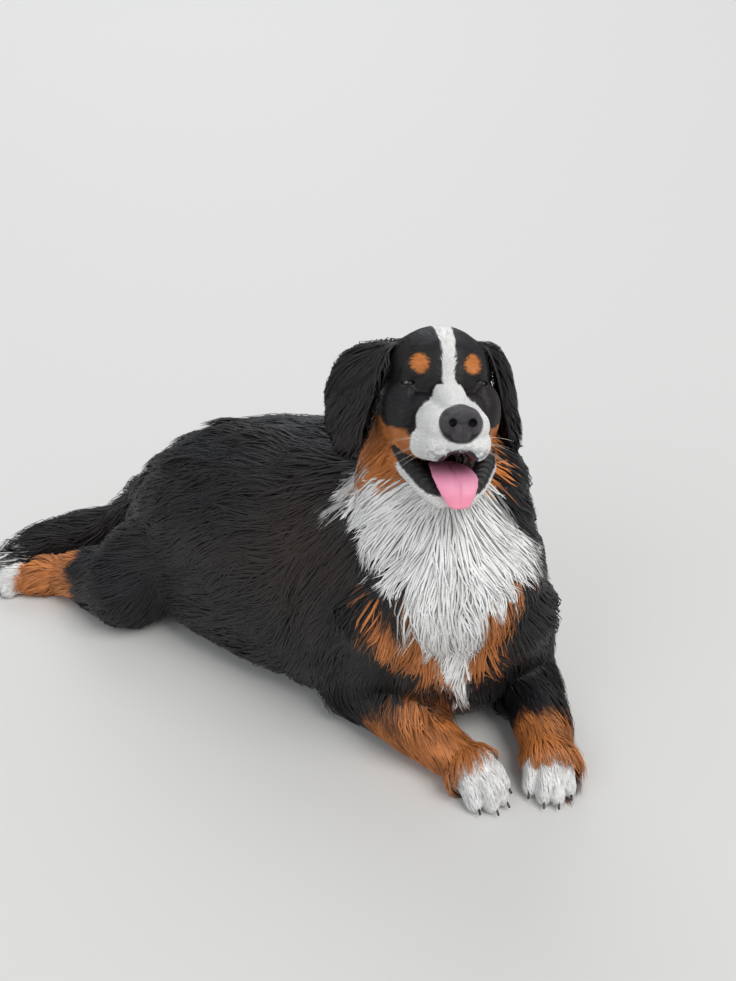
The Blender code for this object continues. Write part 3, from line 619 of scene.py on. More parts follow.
# Places that the coat leaves open: middle and radii on the head, in centimetres.
openPlaces = {
    "nose": ((9.9, 0, -4.5), (1.9, 2.6, 2.4)),
    "mouth": ((6.0, 0, -10.3), (7.0, 2.9, 1.8)),
    "throat": ((3.0, 0, -9.5), (11.0, 3.8, 3.2)),
    "tongue": ((8.0, 0.2, -12.6), (1.5, 2.7, 2.6)),
    "eyeRight": ((-0.5, -4.9, 0.75), (1.2, 1.10, 0.44)),
    "eyeLeft": ((-0.5, 4.9, 0.75), (1.2, 1.05, 0.44)),
}


def openness(places, name):
    # Below 1 inside the place that stays open, over 1 outside.
    centre, radii = openPlaces[name]
    return np.linalg.norm((toHead(places) - centre) / radii, axis=-1)


f, s, u = headPlaces.T
onFace = np.isin(region, [fleshIndex["head"], fleshIndex["jaw"]])
back = np.isin(region, [fleshIndex[name] for name in ("barrel", "rump", "chest", "neck")])
isFore = np.isin(region, [fleshIndex["foreleg_right"], fleshIndex["foreleg_left"]])
outward = np.where(region == fleshIndex["foreleg_right"], -1.0, 1.0)

# Where the coat is shorter, as shares taken off on the muzzle, or fuller, in metres.
muzzle = onFace * smoothStep(f, -1.0, 4.0)
shorter = (0.12, 0.58, 0.5, 0.25)
behindCheeks = onFace * smoothStep(-u, 3.0, 8.0) * smoothStep(-f, 0.0, 4.0)
crown = onFace * smoothStep(-f, 6.0, 10.0)
temples = onFace * smoothStep(-f, 2.5, 6.5) * smoothStep(np.abs(s), 3.5, 6.5) * smoothStep(u, -9.0, -4.0)
overBack = back * smoothStep(field.normals[:, 2], 0.3, 0.9) * (field.places[:, 1] > -0.12)
foreRear = isFore * smoothStep(field.normals[:, 0] * outward + field.normals[:, 1] * 0.8, 0.1, 0.8)
fuller = (
    (behindCheeks, (0.0008, 0.028, 0.010, 0.0008)),
    (crown, (0, 0.015, 0.003, 0)),
    (temples, (0.0010, 0.034, 0.014, 0.0010)),
    (overBack, (0, 0, 0.012, 0)),
    (foreRear, (0, 0.035, 0.012, 0)),
)
nearEye = np.minimum(openness(field.places, "eyeRight"), openness(field.places, "eyeLeft"))
grain = form.copy()
grain[:, :4] *= 1 - np.outer(muzzle, shorter)
for share, more in fuller:
    grain[:, :4] += np.outer(share, more)
grain[:, 1] *= 0.35 + 0.65 * smoothStep(nearEye, 1.2, 3.2)
grain = field.spread(grain, 10)

# Bare places: lips and mouth, the nose, the rims of the eyes and the soles.
lips = {"ahead": (-5, -1.5, 1.5, 4.2, 6, 7.5), "rise": (-8.4, -8.3, -10.0, -12.2, -13.8, -14.2)}
headNear = (np.abs(f) < 16) & (np.abs(s) < 9) & (u > -18) & (u < 3)
mouthGap, eyeGap = np.ones((2, len(f)))
for k in np.flatnonzero(headNear):
    mouthGap[k] = mouthTree.find_nearest(field.places[k].tolist())[3]
    eyeGap[k] = rimTree.find_nearest(field.places[k].tolist())[3]
inMouth = 1 - smoothStep(mouthGap, 0.0008, 0.0025)
lipEdge = 1 - smoothStep(mouthGap + 0.0012 * ripple(field.places, 0.02, 5), 0.0045, 0.0075)
noseEdge = 1 - smoothStep(openness(field.places, "nose"), 0.95, 1.10)
isJaw = region == fleshIndex["jaw"]
lipLine = np.interp(f, lips["ahead"], lips["rise"])
lipBand = isJaw * smoothStep(u - lipLine, 0.35, 0.8) * smoothStep(np.abs(s), 1.2, 2.0)
lipEdge = np.maximum(lipEdge, lipBand * smoothStep(f, -2.5, -1.0))
lidEdge = 1 - smoothStep(eyeGap, 0.0012, 0.0030)
sole = (field.places[:, 2] < 0.004).astype(float)
bare = np.maximum.reduce([lipEdge, lidEdge, noseEdge, sole])
print("coat measured")

# Markings. Colours are black, white and tan, with the darker and brighter shades that they have.
shades = {
    "black": (0.006, 0.006, 0.008),
    "brown": (0.045, 0.026, 0.016),
    "white": (0.92, 0.91, 0.89),
    "tan": (0.50, 0.170, 0.045),
    "rust": (0.64, 0.205, 0.042),
    "grey": (0.36, 0.37, 0.40),
    "lip": (0.008, 0.007, 0.008),
    "gum": (0.10, 0.022, 0.025),
}
bib = {
    "heights": (0.110, 0.18, 0.246, 0.284, 0.312, 0.332, 0.348, 0.359, 0.368, 0.391, 0.42, 0.47),
    "right": (0.226, 0.197, 0.171, 0.150, 0.134, 0.118, 0.100, 0.079, 0.060, 0.067, 0.086, 0.100),
    "left": (0.226, 0.243, 0.242, 0.253, 0.275, 0.305, 0.318, 0.306, 0.300, 0.284, 0.266, 0.262),
    "front": ((0.10, 0.30), (-0.125, -0.185)),
    "middle": 0.24,
    "tan": (0.068, 0.044),
    "tanTop": (0.283, 0.312),
}
# On the head in centimetres, on the legs and the tail in metres.
marks = {
    "blaze": 0.95, "outer": (10.2, 8.4), "spot": (3.65, 3.2, 1.25, 1.05), "patch": (10.4, -3.6, 2.0),
    "foreTan": -0.272, "shankRight": -0.425, "shankLeft": 0.33,
    "toesRight": -0.560, "toesLeft": -0.118, "tailTip": -0.598,
}
# How much of the brown and the brightness varies over the coat, and the painted sheen over the shoulder, a
# brown-grey lightening of the black coat.
tones = {
    "brown": 0.18, "tailBrown": 0.25, "earBrown": 0.25, "brownShare": 0.35,
    "shoulder": (0.03, -0.13, 0.30), "shoulderSize": 0.09, "shoulderSheen": 1.6,
    "freckles": 0.85, "each": (0.91, 1.09), "brightest": 0.95,
}


def markings(places, region):
    # White, tan and rust shares at places on the coat.
    h = toHead(places)
    f, s, u = h.T
    x, y, z = places.T
    wave = ripple(places, 0.035, 11) * 0.6 + ripple(places, 0.012, 12) * 0.4

    def on(*names):
        return np.isin(region, [k for name, k in fleshIndex.items() if name.startswith(names)])

    def soft(value, edge=0.08):
        return np.clip(0.5 + value / edge, 0, 1)

    face = on("head", "jaw")
    # Blaze, from the crown down the middle of the face, and the whole muzzle.
    half = marks["blaze"] + 0.3 * smoothStep(u, 5, 8)
    half = half + 1.8 * smoothStep(-u, -0.3, 1.6) - 1.2 * smoothStep(-f, 9, 13)
    stripe = soft(half - np.abs(s - 0.1) + wave * 0.12, 0.2) * (f > -14)
    muzzle = soft(f - 1.0 - 0.5 * np.abs(s) + wave * 0.25, 0.4) * (u < 0.5)
    blaze = np.maximum(stripe * (u > -9.6), muzzle * (u > -9.8))
    chin = soft(1.0 + f * 0.5 - np.abs(s) * 0.2, 0.5) * (u < -9.5)
    white = face * np.maximum(blaze * (f > -13), chin)
    # Tan cheeks, spots over the eyes, and a patch in front of each ear.
    low = soft(-4.7 - 0.25 * (f + 2) - u + wave * 0.3, 0.4)
    outer = np.where(s < 0, *marks["outer"])
    cheek = low * soft(np.abs(s) - 3.2, 0.5) * soft(3.6 - f, 0.5) * (u > -13.8)
    cheek = cheek * soft(outer - np.abs(s), 0.6) * soft(f + 9, 1.0)
    spotSide, spotRise, spotTall, spotSize = marks["spot"]
    spot = soft(spotSize - np.hypot(np.abs(s) - spotSide, (u - spotRise) / spotTall) + wave * 0.1, 0.3)
    spot = face * spot * (f > -5)
    patchSide, patchRise, patchTall = marks["patch"]
    patch = soft(1.0 - np.hypot(np.abs(s) - patchSide, (u - patchRise) / patchTall), 0.4) * (f > -9)
    tan = (face | on("neck")) * np.maximum(cheek * (1 - white), patch)
    ruffs = soft(np.abs(s) - 6.8, 0.8) * soft(outer - np.abs(s), 0.8)
    ruffs = ruffs * soft(-6.2 - u, 0.8) * soft(u + 13.6, 1.0) * soft(f + 12, 1.0)
    tan = np.maximum.reduce([tan, spot, ruffs * ~on("ear")])
    rust = np.maximum(spot, ruffs * 0.9)
    # The bib, with its wings at the sides of the neck and its point between the forelegs.
    frontPart = on("neck", "chest", "foreleg", "jaw")
    rightEdge = np.interp(z, bib["heights"], bib["right"])
    leftEdge = np.interp(z, bib["heights"], bib["left"])
    inside = np.minimum(x - rightEdge, leftEdge - x) + wave * 0.007
    front = soft(np.interp(x, *bib["front"]) - y, 0.03) * (z > 0.10)
    chest = soft(inside, 0.010) * front * frontPart
    white = np.maximum(white, chest * (1 - tan * (u > -13)))
    toTheRight = x < bib["middle"]
    breadth = np.where(toTheRight, *bib["tan"]) + 0.6 * np.minimum(z - 0.21, 0)
    top = np.where(toTheRight, *bib["tanTop"])
    beside = soft(breadth + inside, 0.010) * soft(z - 0.155, 0.02) * soft(top - z, 0.015)
    tan = np.maximum(tan, beside * front * (1 - chest) * frontPart)
    # Legs: tan from half way down the forearm, white toes.
    foreTan = soft(marks["foreTan"] - y - 0.35 * np.clip(z - 0.06, 0, 1) + wave * 0.006, 0.02) * (z < 0.13)
    tan = np.maximum(tan, foreTan * on("foreleg", "chest") * (1 - white))
    tan = np.where(on("forepaw"), 1.0, tan)
    toeRight = soft((x - 0.240) * 0.61 - (y + 0.340) * 0.79 - 0.004 + wave * 0.004, 0.008)
    toeLeft = soft(-0.338 - y + wave * 0.004, 0.008)
    hindRight = soft(marks["shankRight"] - x + wave * 0.008, 0.02) * on("shank_right", "hindpaw_right")
    hindLeft = soft(y - marks["shankLeft"], 0.02) * on("shank_left", "hindpaw_left")
    tan = np.maximum.reduce([tan, hindRight, hindLeft])
    white = np.maximum.reduce([
        white,
        on("forepaw_right") * toeRight,
        on("forepaw_left") * toeLeft,
        on("hindpaw_right") * soft(marks["toesRight"] - x + wave * 0.004, 0.01),
        on("hindpaw_left") * soft(x - marks["toesLeft"] + wave * 0.004, 0.01),
        on("tail") * soft(marks["tailTip"] - x + wave * 0.006, 0.02),
    ])
    return white, tan, rust


def coatColour(places, region, seed):
    draw = np.random.default_rng(seed)
    white, tan, rust = markings(places, region)
    shade = {name: np.array(value) for name, value in shades.items()}
    node = partNames[region]
    brownAndSheen = np.clip(tones["brown"] + 0.25 * ripple(places, 0.12, 21), 0, 0.6)
    brownAndSheen = brownAndSheen + tones["tailBrown"] * (node == "tail")
    # Painted sheen: the black coat is lightened to brown-grey over the shoulder, where light catches it.
    shoulder = np.exp(-(((places - tones["shoulder"]) / tones["shoulderSize"]) ** 2).sum(axis=1))
    brownAndSheen = brownAndSheen + shoulder * tones["shoulderSheen"]
    brownAndSheen = brownAndSheen + tones["earBrown"] * np.char.startswith(node, "ear")
    dark = shade["black"] + (shade["brown"] - shade["black"]) * brownAndSheen[:, None] * tones["brownShare"]
    warm = shade["tan"] + (shade["rust"] - shade["tan"]) * rust[:, None]
    warm = warm * (1 + 0.18 * ripple(places, 0.03, 22))[:, None]
    colour = dark + (warm - dark) * tan[:, None]
    pale = shade["white"] * (1 - 0.07 * np.clip(ripple(places, 0.04, 23), 0, 1))[:, None]
    colour = colour + (pale - colour) * white[:, None]
    # Grey freckles round the lips.
    h = toHead(places)
    speck = smoothStep(-h[:, 2], 6.5, 8.5) * smoothStep(h[:, 0], 6, 9)
    speck = speck * (ripple(places, 0.009, 24) > 0.25) * white
    colour = colour + (shade["grey"] - colour) * (speck * tones["freckles"])[:, None]
    return np.clip(colour * draw.uniform(*tones["each"], (len(places), 1)), 0, tones["brightest"])


def pointColour(mesh, name, colour):
    layer = mesh.attributes.new(name, "FLOAT_COLOR", "POINT")
    full = np.ones((len(colour), 4), np.float32)
    full[:, :3] = colour
    layer.data.foreach_set("color", full.ravel())


# The lower lip's wrinkles, and the skin's own colours.
wrinkles = lipEdge * isJaw * (0.6 * np.sin(f * 11 + 2 * u) + 0.4 * np.sin(f * 23 - 3 * u)) * 0.0018
skin.data.vertices.foreach_set("co", (field.places + field.normals * wrinkles[:, None]).ravel())
skin.data.update()
skinColour = coatColour(field.places, region, 1) * 0.85
lip, gum = np.array(shades["lip"]), np.array(shades["gum"])
skinColour += (lip - skinColour) * np.maximum.reduce([lipEdge, lidEdge, noseEdge])[:, None]
skinColour += (gum - skinColour) * (inMouth * smoothStep(-mouthGap, -0.002, 0))[:, None]
pointColour(skin.data, "coatColour", skinColour)
skin.data.shade_smooth()

# Tufts: rings along a tuft, how far along, breadth there, and the share of the full height reached.
tuft = {
    "rings": ((0.0, 0.75, 0.0), (0.33, 1.0, 0.62), (0.68, 0.72, 0.92), (1.0, 0.0, 1.0)),
    "thickness": 0.28,
    "softness": 0.42,
    "longRings": (0, 1, 2, 3),
    "shortRings": (0, 1, 3),
    "shortOn": ("head", "jaw", "forepaw", "hindpaw"),
    # Brightness along each tuft, by how far along: painted shade, darker at the root where the coat shades
    # itself, lighter towards the tip.
    "tones": ((0, 0.35, 1), (0.86, 0.97, 1.04)),
    "patch": 0.003,
    "most": 12000,
    "seed": 7,
}


def scatterRoots(draw):
    # Evenly spread roots, by a systematic draw over faces in an order that keeps neighbours together.
    triangles = field.places[field.corners]
    normals = np.cross(triangles[:, 1] - triangles[:, 0], triangles[:, 2] - triangles[:, 0])
    areas = np.linalg.norm(normals, axis=1) / 2
    values = grain[field.corners].mean(axis=1)
    furred = 1 - bare[field.corners].mean(axis=1)
    centres = triangles.mean(axis=1)
    hidden = (normals[:, 2] < -0.85 * areas * 2) & (centres[:, 2] < 0.02)
    weight = areas / values[:, 0] ** 2 * (furred > 0.5) * ~hidden
    cells = ((centres - centres.min(axis=0)) / 0.012).astype(np.int64)
    code = np.zeros(len(cells), np.int64)
    for bit in range(8):
        for axis in range(3):
            code |= ((cells[:, axis] >> bit) & 1) << (3 * bit + axis)
    order = np.argsort(code, kind="stable")
    total = np.cumsum(weight[order])
    picks = np.arange(int(total[-1])) + draw.random(int(total[-1]))
    faces = order[np.minimum(np.searchsorted(total, picks), len(order) - 1)]
    a, b = draw.random((2, len(faces)))
    over = a + b > 1
    a, b = np.where(over, 1 - a, a), np.where(over, 1 - b, b)
    return faces, np.column_stack([1 - a - b, a, b])


def walk(places, normals, lies, lengths, rings):
    # Follow the skin from each root along the lie: place, outward normal and straight overshoot at each ring.
    path, outs, over = [places], [normals], [np.zeros(len(places))]
    here, way, reached = places, lies, 0.0
    for t, _, _ in rings[1:]:
        ahead = here + way * ((t - reached) * lengths)[:, None]
        found, faces = field.nearest(ahead)
        out = unit(field.normals[field.corners[faces]].mean(axis=1))
        nextWay = unit(way + lie[field.corners[faces]].mean(axis=1) * 1.2)
        gap = ((ahead - found) * out).sum(axis=1)
        path.append(found)
        outs.append(out)
        over.append(np.clip(gap, 0, 0.03))
        here, way, reached = found, unit(nextWay - out * (nextWay * out).sum(axis=1)[:, None]), t
    return path, outs, over


def growCoat():
    draw = np.random.default_rng(tuft["seed"])
    faces, weights = scatterRoots(draw)
    roots = field.at(field.places, faces, weights)
    count = len(roots)
    rootNormal = unit(field.at(field.normals, faces, weights))
    values = field.at(grain, faces, weights)
    owner = region[field.corners[faces, weights.argmax(axis=1)]]
    lies = unit(field.at(lie, faces, weights))
    side = np.cross(lies, rootNormal)
    angle = 0.24 * ripple(roots, 0.10, 31) + 0.13 * ripple(roots, 0.04, 32) + draw.normal(0, 0.055, count)
    lies = unit(lies * np.cos(angle)[:, None] + side * np.sin(angle)[:, None])
    size = 1 + 0.22 * ripple(roots, 0.05, 33) + draw.uniform(-0.2, 0.2, count)
    lengths = values[:, 1] * np.clip(size, 0.6, 1.5)
    heights = values[:, 2] * draw.uniform(0.5, 1.0, count) * (1 + 0.15 * ripple(roots, 0.06, 34))
    path, outs, over = walk(roots, rootNormal, lies, lengths, tuft["rings"])
    print("tufts rooted:", count)

    # Clumps: each tuft leans towards the tuft that leads its clump.
    leaders = leadersOf(roots, values[:, 1] * 0.30, draw)
    pull = values[:, 4] * draw.uniform(0.5, 1.2, count)
    lines = []
    for ring, (_, _, share) in enumerate(tuft["rings"]):
        rise = heights * share + over[ring] * 0.7 - 0.001 * (ring == 0)
        lines.append(path[ring] + outs[ring] * rise[:, None])
    curl = draw.normal(0, 1, count) * 0.03 + 0.07 * ripple(roots, 0.06, 35)
    bendWay = np.cross(lies, rootNormal)
    for ring, (t, _, _) in enumerate(tuft["rings"]):
        if ring:
            lead = lines[ring][leaders]
            drawn = np.clip(pull * t * t, 0, 0.85)
            bend = curl * lengths * sin(pi * 1.4 * t)
            lines[ring] = lines[ring] + (lead - lines[ring]) * drawn[:, None] + bendWay * bend[:, None]
    low = 0.0012 + 0.002 * draw.random(count)
    for line in lines:
        line[:, 2] = np.maximum(line[:, 2], low)
    widths = values[:, 3] * draw.uniform(0.8, 1.25, count)
    clear = np.ones(count, bool)
    for name in openPlaces:
        for line in lines:
            clear &= (openness(line, name) > 1) | ((name == "throat") & (owner != fleshIndex["neck"]))
    return {
        "roots": roots[clear], "owner": owner[clear], "lines": [line[clear] for line in lines],
        "outs": [out[clear] for out in outs], "widths": widths[clear], "normal": rootNormal[clear],
    }


def leadersOf(roots, reach, draw):
    # The index of the tuft that leads each tuft's clump.
    order = draw.permutation(len(roots))
    chosen = []
    kd = KDTree(len(roots))
    cell = {}
    for k in order:
        key = tuple(np.floor(roots[k] / max(reach[k], 0.004)).astype(int)) + (round(reach[k] * 200),)
        if key not in cell:
            cell[key] = k
            chosen.append(k)
    for n, k in enumerate(chosen):
        kd.insert(roots[k], n)
    kd.balance()
    chosen = np.array(chosen)
    return chosen[[kd.find(place)[1] for place in roots.tolist()]]


def tuftMesh(name, grown, own, seed, picked):
    # The chosen tufts as one mesh of closed three-sided blades.
    rings = [tuft["rings"][ring] for ring in picked]
    lines = [grown["lines"][ring][own] for ring in picked]
    outs = [grown["outs"][ring][own] for ring in picked]
    widths, count = grown["widths"][own], len(own)
    corners = np.empty((count, 3 * (len(rings) - 1) + 1, 3))
    leans = np.empty_like(corners)
    for ring, (_, wide, _) in enumerate(rings[:-1]):
        way = unit(lines[ring + 1] - lines[max(0, ring - 1)])
        side = unit(np.cross(way, outs[ring]))
        out = np.cross(side, way)
        half = (widths * wide / 2)[:, None]
        corners[:, 3 * ring] = lines[ring] - side * half
        corners[:, 3 * ring + 1] = lines[ring] + out * half * 2 * tuft["thickness"]
        corners[:, 3 * ring + 2] = lines[ring] + side * half
        for k, lean in enumerate((-side, out, side)):
            leans[:, 3 * ring + k] = outs[ring] * (1 - tuft["softness"]) + lean * tuft["softness"]
    corners[:, -1] = lines[-1]
    leans[:, -1] = outs[-1]
    quads, triangles = [], [(2, 1, 0)]
    for ring in range(len(rings) - 2):
        for k in range(3):
            a, b = 3 * ring + k, 3 * ring + (k + 1) % 3
            quads.append((a, b, b + 3, a + 3))
    last = 3 * (len(rings) - 2)
    triangles += [(last + k, last + (k + 1) % 3, 3 * (len(rings) - 1)) for k in range(3)]
    per = corners.shape[1]
    starts = (np.arange(count) * per)[:, None, None]
    loops = [(starts + np.array(sides)).reshape(count, -1) for sides in (quads, triangles)]
    loops = np.concatenate(loops, axis=1)
    sizes = np.tile([4] * len(quads) + [3] * len(triangles), count)
    mesh = bpy.data.meshes.new(name)
    mesh.vertices.add(count * per)
    mesh.vertices.foreach_set("co", corners.ravel())
    mesh.loops.add(loops.size)
    mesh.loops.foreach_set("vertex_index", loops.ravel())
    mesh.polygons.add(len(sizes))
    mesh.polygons.foreach_set("loop_start", np.concatenate([[0], np.cumsum(sizes)[:-1]]))
    mesh.update()
    mesh.validate()
    mesh.shade_smooth()
    mesh.normals_split_custom_set_from_vertices(unit(leans).reshape(-1, 3).tolist())
    colour = coatColour(lines[1] * 0.5 + lines[2] * 0.5, grown["owner"][own], seed)
    # Painted shade along each tuft: darker at the root, lighter towards the tip.
    up = np.array([t for t, _, _ in rings[:-1] for _ in range(3)] + [1.0])
    tone = np.interp(up, *tuft["tones"])
    colours = np.clip(colour[:, None, :] * tone[None, :, None], 0, 0.93).reshape(-1, 3)
    pointColour(mesh, "coatColour", colours)
    # Bake map: each tuft is a small patch at its root's place on the skin, unwrapped by facing.
    facing, place = grown["normal"][own], grown["roots"][own]
    axis = np.abs(facing).argmax(axis=1)
    chart = axis * 2 + (facing[np.arange(count), axis] > 0)
    spots = np.empty((count, 2))
    for k in range(6):
        mine = chart == k
        if mine.any():
            flat = np.delete(place[mine], k // 2, axis=1)
            low, span = flat.min(axis=0), max(np.ptp(flat, axis=0).max(), 0.01)
            spots[mine] = (flat - low) / span * (0.31, 0.47) + (0.01 + (k % 3) / 3, 0.01 + (k // 3) / 2)
    across = np.array([0.0, 0.5, 1.0] * (len(rings) - 1) + [0.5])
    patch = np.column_stack([across, up]) * tuft["patch"]
    where = (spots[:, None, :] + patch[None]).reshape(-1, 2)
    layer = mesh.uv_layers.new(name="OFBake")
    layer.uv.foreach_set("vector", where[loops.ravel()].ravel())
    return addObject(name, mesh)


class Wire:
    # A shader socket that can be used in sums.
    def __init__(self, finish, socket):
        self.finish, self.socket = finish, socket

    def sum(self, how, a, b):
        return self.finish.node("ShaderNodeMath", {"operation": how}, {0: a, 1: b})

    def __add__(self, other):
        return self.sum("ADD", self, other)

    __radd__ = __add__

    def __sub__(self, other):
        return self.sum("SUBTRACT", self, other)

    def __rsub__(self, other):
        return self.sum("SUBTRACT", other, self)

    def __mul__(self, other):
        return self.sum("MULTIPLY", self, other)

    __rmul__ = __mul__


class Finish:
    # One material and its nodes.
    def __init__(self, name):
        self.material = bpy.data.materials.new(name)
        self.material.use_nodes = True
        self.tree = self.material.node_tree
        self.tree.nodes.clear()

    def node(self, kind, settings=None, sockets=None, output=0):
        made = self.tree.nodes.new(kind)
        for key, value in (settings or {}).items():
            if key == "stops":
                ramp = made.color_ramp
                while len(ramp.elements) < len(value):
                    ramp.elements.new(0.5)
                for element, (position, colour) in zip(ramp.elements, value):
                    element.position = position
                    element.color = (*colour, 1)
            else:
                setattr(made, key, value)
        for key, value in (sockets or {}).items():
            if isinstance(value, Wire):
                self.tree.links.new(value.socket, made.inputs[key])
            else:
                made.inputs[key].default_value = value
        return Wire(self, made.outputs[output]) if made.outputs else None

    def blend(self, share, a, b, how="MIX"):
        a, b = (value if isinstance(value, Wire) else (*value, 1) for value in (a, b))
        settings = {"data_type": "RGBA", "blend_type": how}
        return self.node("ShaderNodeMix", settings, {0: share, 6: a, 7: b}, 2)

    def place(self):
        # Places on the piece itself.
        return self.node("ShaderNodeTexCoord", None, None, 3)

    def axes(self, place):
        split = self.node("ShaderNodeSeparateXYZ", None, {0: place}).socket.node
        return [Wire(self, socket) for socket in split.outputs]

    def noise(self, size, detail=2.0, place=None):
        sockets = {"Scale": size, "Detail": detail}
        if place:
            sockets["Vector"] = place
        return self.node("ShaderNodeTexNoise", None, sockets)

    def scaled(self, value, low, high, least, most):
        return self.node("ShaderNodeMapRange", None, {"Value": value, 1: low, 2: high, 3: least, 4: most})

    def ramp(self, share, stops):
        return self.node("ShaderNodeValToRGB", {"stops": stops}, {0: share})

    def bump(self, strength, distance, height):
        sockets = {"Strength": strength, "Distance": distance, "Height": height}
        return self.node("ShaderNodeBump", None, sockets)

    def coat(self, tone):
        # The coat's own colour, with its brightness changed by the tone.
        colour = self.node("ShaderNodeAttribute", {"attribute_name": "coatColour"})
        shade = self.node("ShaderNodeCombineColor", None, {0: tone, 1: tone, 2: tone})
        return self.blend(1.0, colour, shade, "MULTIPLY")

    def finishWith(self, **sockets):
        sockets = {key.replace("_", " "): value for key, value in sockets.items()}
        shader = self.node("ShaderNodeBsdfPrincipled", None, sockets)
        self.node("ShaderNodeOutputMaterial", None, {"Surface": shader})
        return self.material


# Coat: how fine its patches and strands are, how far they change its brightness, and its gloss.
furLook = {
    "patches": 26.0, "strands": 420.0, "tone": (0.35, 0.65, 0.84, 1.12), "roughness": 0.46, "gloss": 0.40,
}
skinLook = {"fine": 700.0, "coarse": 60.0, "tone": (0.3, 0.7, 0.8, 1.15), "roughness": 0.35}


def furFinish():
    fur = Finish("fur")
    place = fur.place()
    patches = fur.noise(furLook["patches"], 3.0, place)
    strands = fur.noise(furLook["strands"], 2.0, place)
    return fur.finishWith(
        Base_Color=fur.coat(fur.scaled(patches * 0.6 + strands * 0.4, *furLook["tone"])),
        Specular_IOR_Level=furLook["gloss"],
        Roughness=patches * 0.2 + (furLook["roughness"] - 0.1),
        Normal=fur.bump(0.25, 0.0006, strands),
    )


def skinFinish():
    hide = Finish("hide")
    place = hide.place()
    fine = hide.noise(skinLook["fine"], 3.0, place)
    coarse = hide.noise(skinLook["coarse"], 4.0, place)
    return hide.finishWith(
        Base_Color=hide.coat(hide.scaled(fine, *skinLook["tone"])),
        Roughness=coarse * 0.3 + skinLook["roughness"],
        Normal=hide.bump(0.5, 0.001, fine + coarse),
    )


def dress(obj, material):
    obj.data.shade_smooth()
    obj.data.materials.append(material)


skin.data.materials.clear()
skin.data.materials.append(skinFinish())
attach(skin, "root")
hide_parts(*fleshNodes)

grown = growCoat()
fur = furFinish()
triangles = 0
for k, node in enumerate(fleshNodes):
    own = np.flatnonzero(grown["owner"] == k)
    if not len(own):
        continue
    part = node.split("_")[0]
    picked = tuft["shortRings"] if part in tuft["shortOn"] else tuft["longRings"]
    for n, some in enumerate(np.array_split(own, 1 + len(own) // tuft["most"])):
        piece = tuftMesh("coat_%s_%d" % (node, n + 1), grown, some, 100 + 10 * k + n, picked)
        piece.data.materials.append(fur)
        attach(piece, "root")
        triangles += (6 * len(picked) - 8) * len(some)
    print(node, len(own), "tufts")
print("coat:", triangles, "triangles")

# Eyes: brown, small behind narrowed lids, coloured by the distance from the middle in centimetres.
eyeLooks = {
    "colours": (
        (0.0, (0.004, 0.003, 0.003)), (0.22, (0.004, 0.003, 0.003)), (0.27, (0.040, 0.017, 0.008)),
        (0.45, (0.030, 0.012, 0.006)), (0.56, (0.010, 0.006, 0.005)), (0.66, (0.05, 0.03, 0.025)),
    ),
    "roughness": 0.12,
    "filmRoughness": 0.03,
}


def eyeFinish():
    look = Finish("eye")
    place = look.place()
    _, y, z = look.axes(place)
    away = look.node("ShaderNodeMath", {"operation": "SQRT"}, {0: y * y + z * z})
    ring = away * 100 + look.noise(300.0, 3.0, place) * 0.08 - 0.04
    return look.finishWith(
        Base_Color=look.ramp(ring, eyeLooks["colours"]),
        Roughness=away * 0.001 + eyeLooks["roughness"],
        Coat_Weight=1.0,
        Coat_Roughness=eyeLooks["filmRoughness"],
    )


eyeMaterial = eyeFinish()
for side, name in ((-1, "eye_right"), (1, "eye_left")):
    ball = balls(name + "_ball", [Matrix.Diagonal((eyes["ball"] * 0.01,) * 3).to_4x4()], 48)
    ball.matrix_world = Matrix.Translation(eyePlace(side)) @ turnTo(eyeLook(side) - headUp * 0.05, headUp)
    dress(ball, eyeMaterial)
    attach(ball, "root")
    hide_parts(name)
print("eyes set")


# Nose: lumps and nostrils in centimetres, and its leather.
noseForm = {
    "lumps": (
        ((9.6, 0, -3.6), (1.8, 2.4, 1.35)), ((9.5, 0, -5.3), (1.6, 1.45, 1.7)),
        ((9.4, -1.5, -4.4), (1.85, 1.25, 1.4)), ((9.4, 1.5, -4.4), (1.85, 1.25, 1.4)),
    ),
    "nostril": ((11.6, 1.15, -4.35), (10.3, 1.25, -4.35), (9.4, 2.4, -4.9)),
    "nostrilRadii": (0.56, 0.50, 0.40),
    "voxel": 0.0009,
    "grooveHalf": 0.13,
    "grooveDepth": 0.0016,
    "colours": ((0.3, (0.022, 0.020, 0.024)), (0.7, (0.060, 0.052, 0.060))),
    "pebbles": 900.0,
}


def noseFinish():
    look = Finish("noseLeather")
    place = look.place()
    sockets = {"Vector": place, "Scale": noseForm["pebbles"]}
    pebbles = look.node("ShaderNodeTexVoronoi", {"feature": "DISTANCE_TO_EDGE"}, sockets)
    coarse = look.noise(140.0, 3.0, place)
    return look.finishWith(
        Base_Color=look.ramp(coarse, noseForm["colours"]),
        Roughness=coarse * 0.2 + 0.28,
        Normal=look.bump(0.5, 0.0006, look.scaled(pebbles, 0.0, 0.25, 0.0, 1.0)),
    )


def nosePad():
    voxel = noseForm["voxel"]
    nose = soften(balls("nosePad", [headLump(*row) for row in noseForm["lumps"]], 32), voxel, 6)
    holes = []
    for side in (-1, 1):
        line = [(f, side * s, u) for f, s, u in noseForm["nostril"]]
        holes.append(soften(balls("nostril", headLimb(line, noseForm["nostrilRadii"]), 24), voxel, 4))
    combine(nose, holes, "DIFFERENCE")
    soften(nose, voxel, 2)
    shape = nose.data
    places = vertexArray(shape)
    f, s, u = toHead(places).T
    groove = np.exp(-((s / noseForm["grooveHalf"]) ** 2)) * smoothStep(-u, 4.2, 5.0) * smoothStep(f, 9.0, 10.0)
    places -= np.outer(groove * noseForm["grooveDepth"], forward)
    shape.vertices.foreach_set("co", places.ravel())
    shape.update()
    return nose


nose = nosePad()
dress(nose, noseFinish())
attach(nose, "root")
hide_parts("nose")


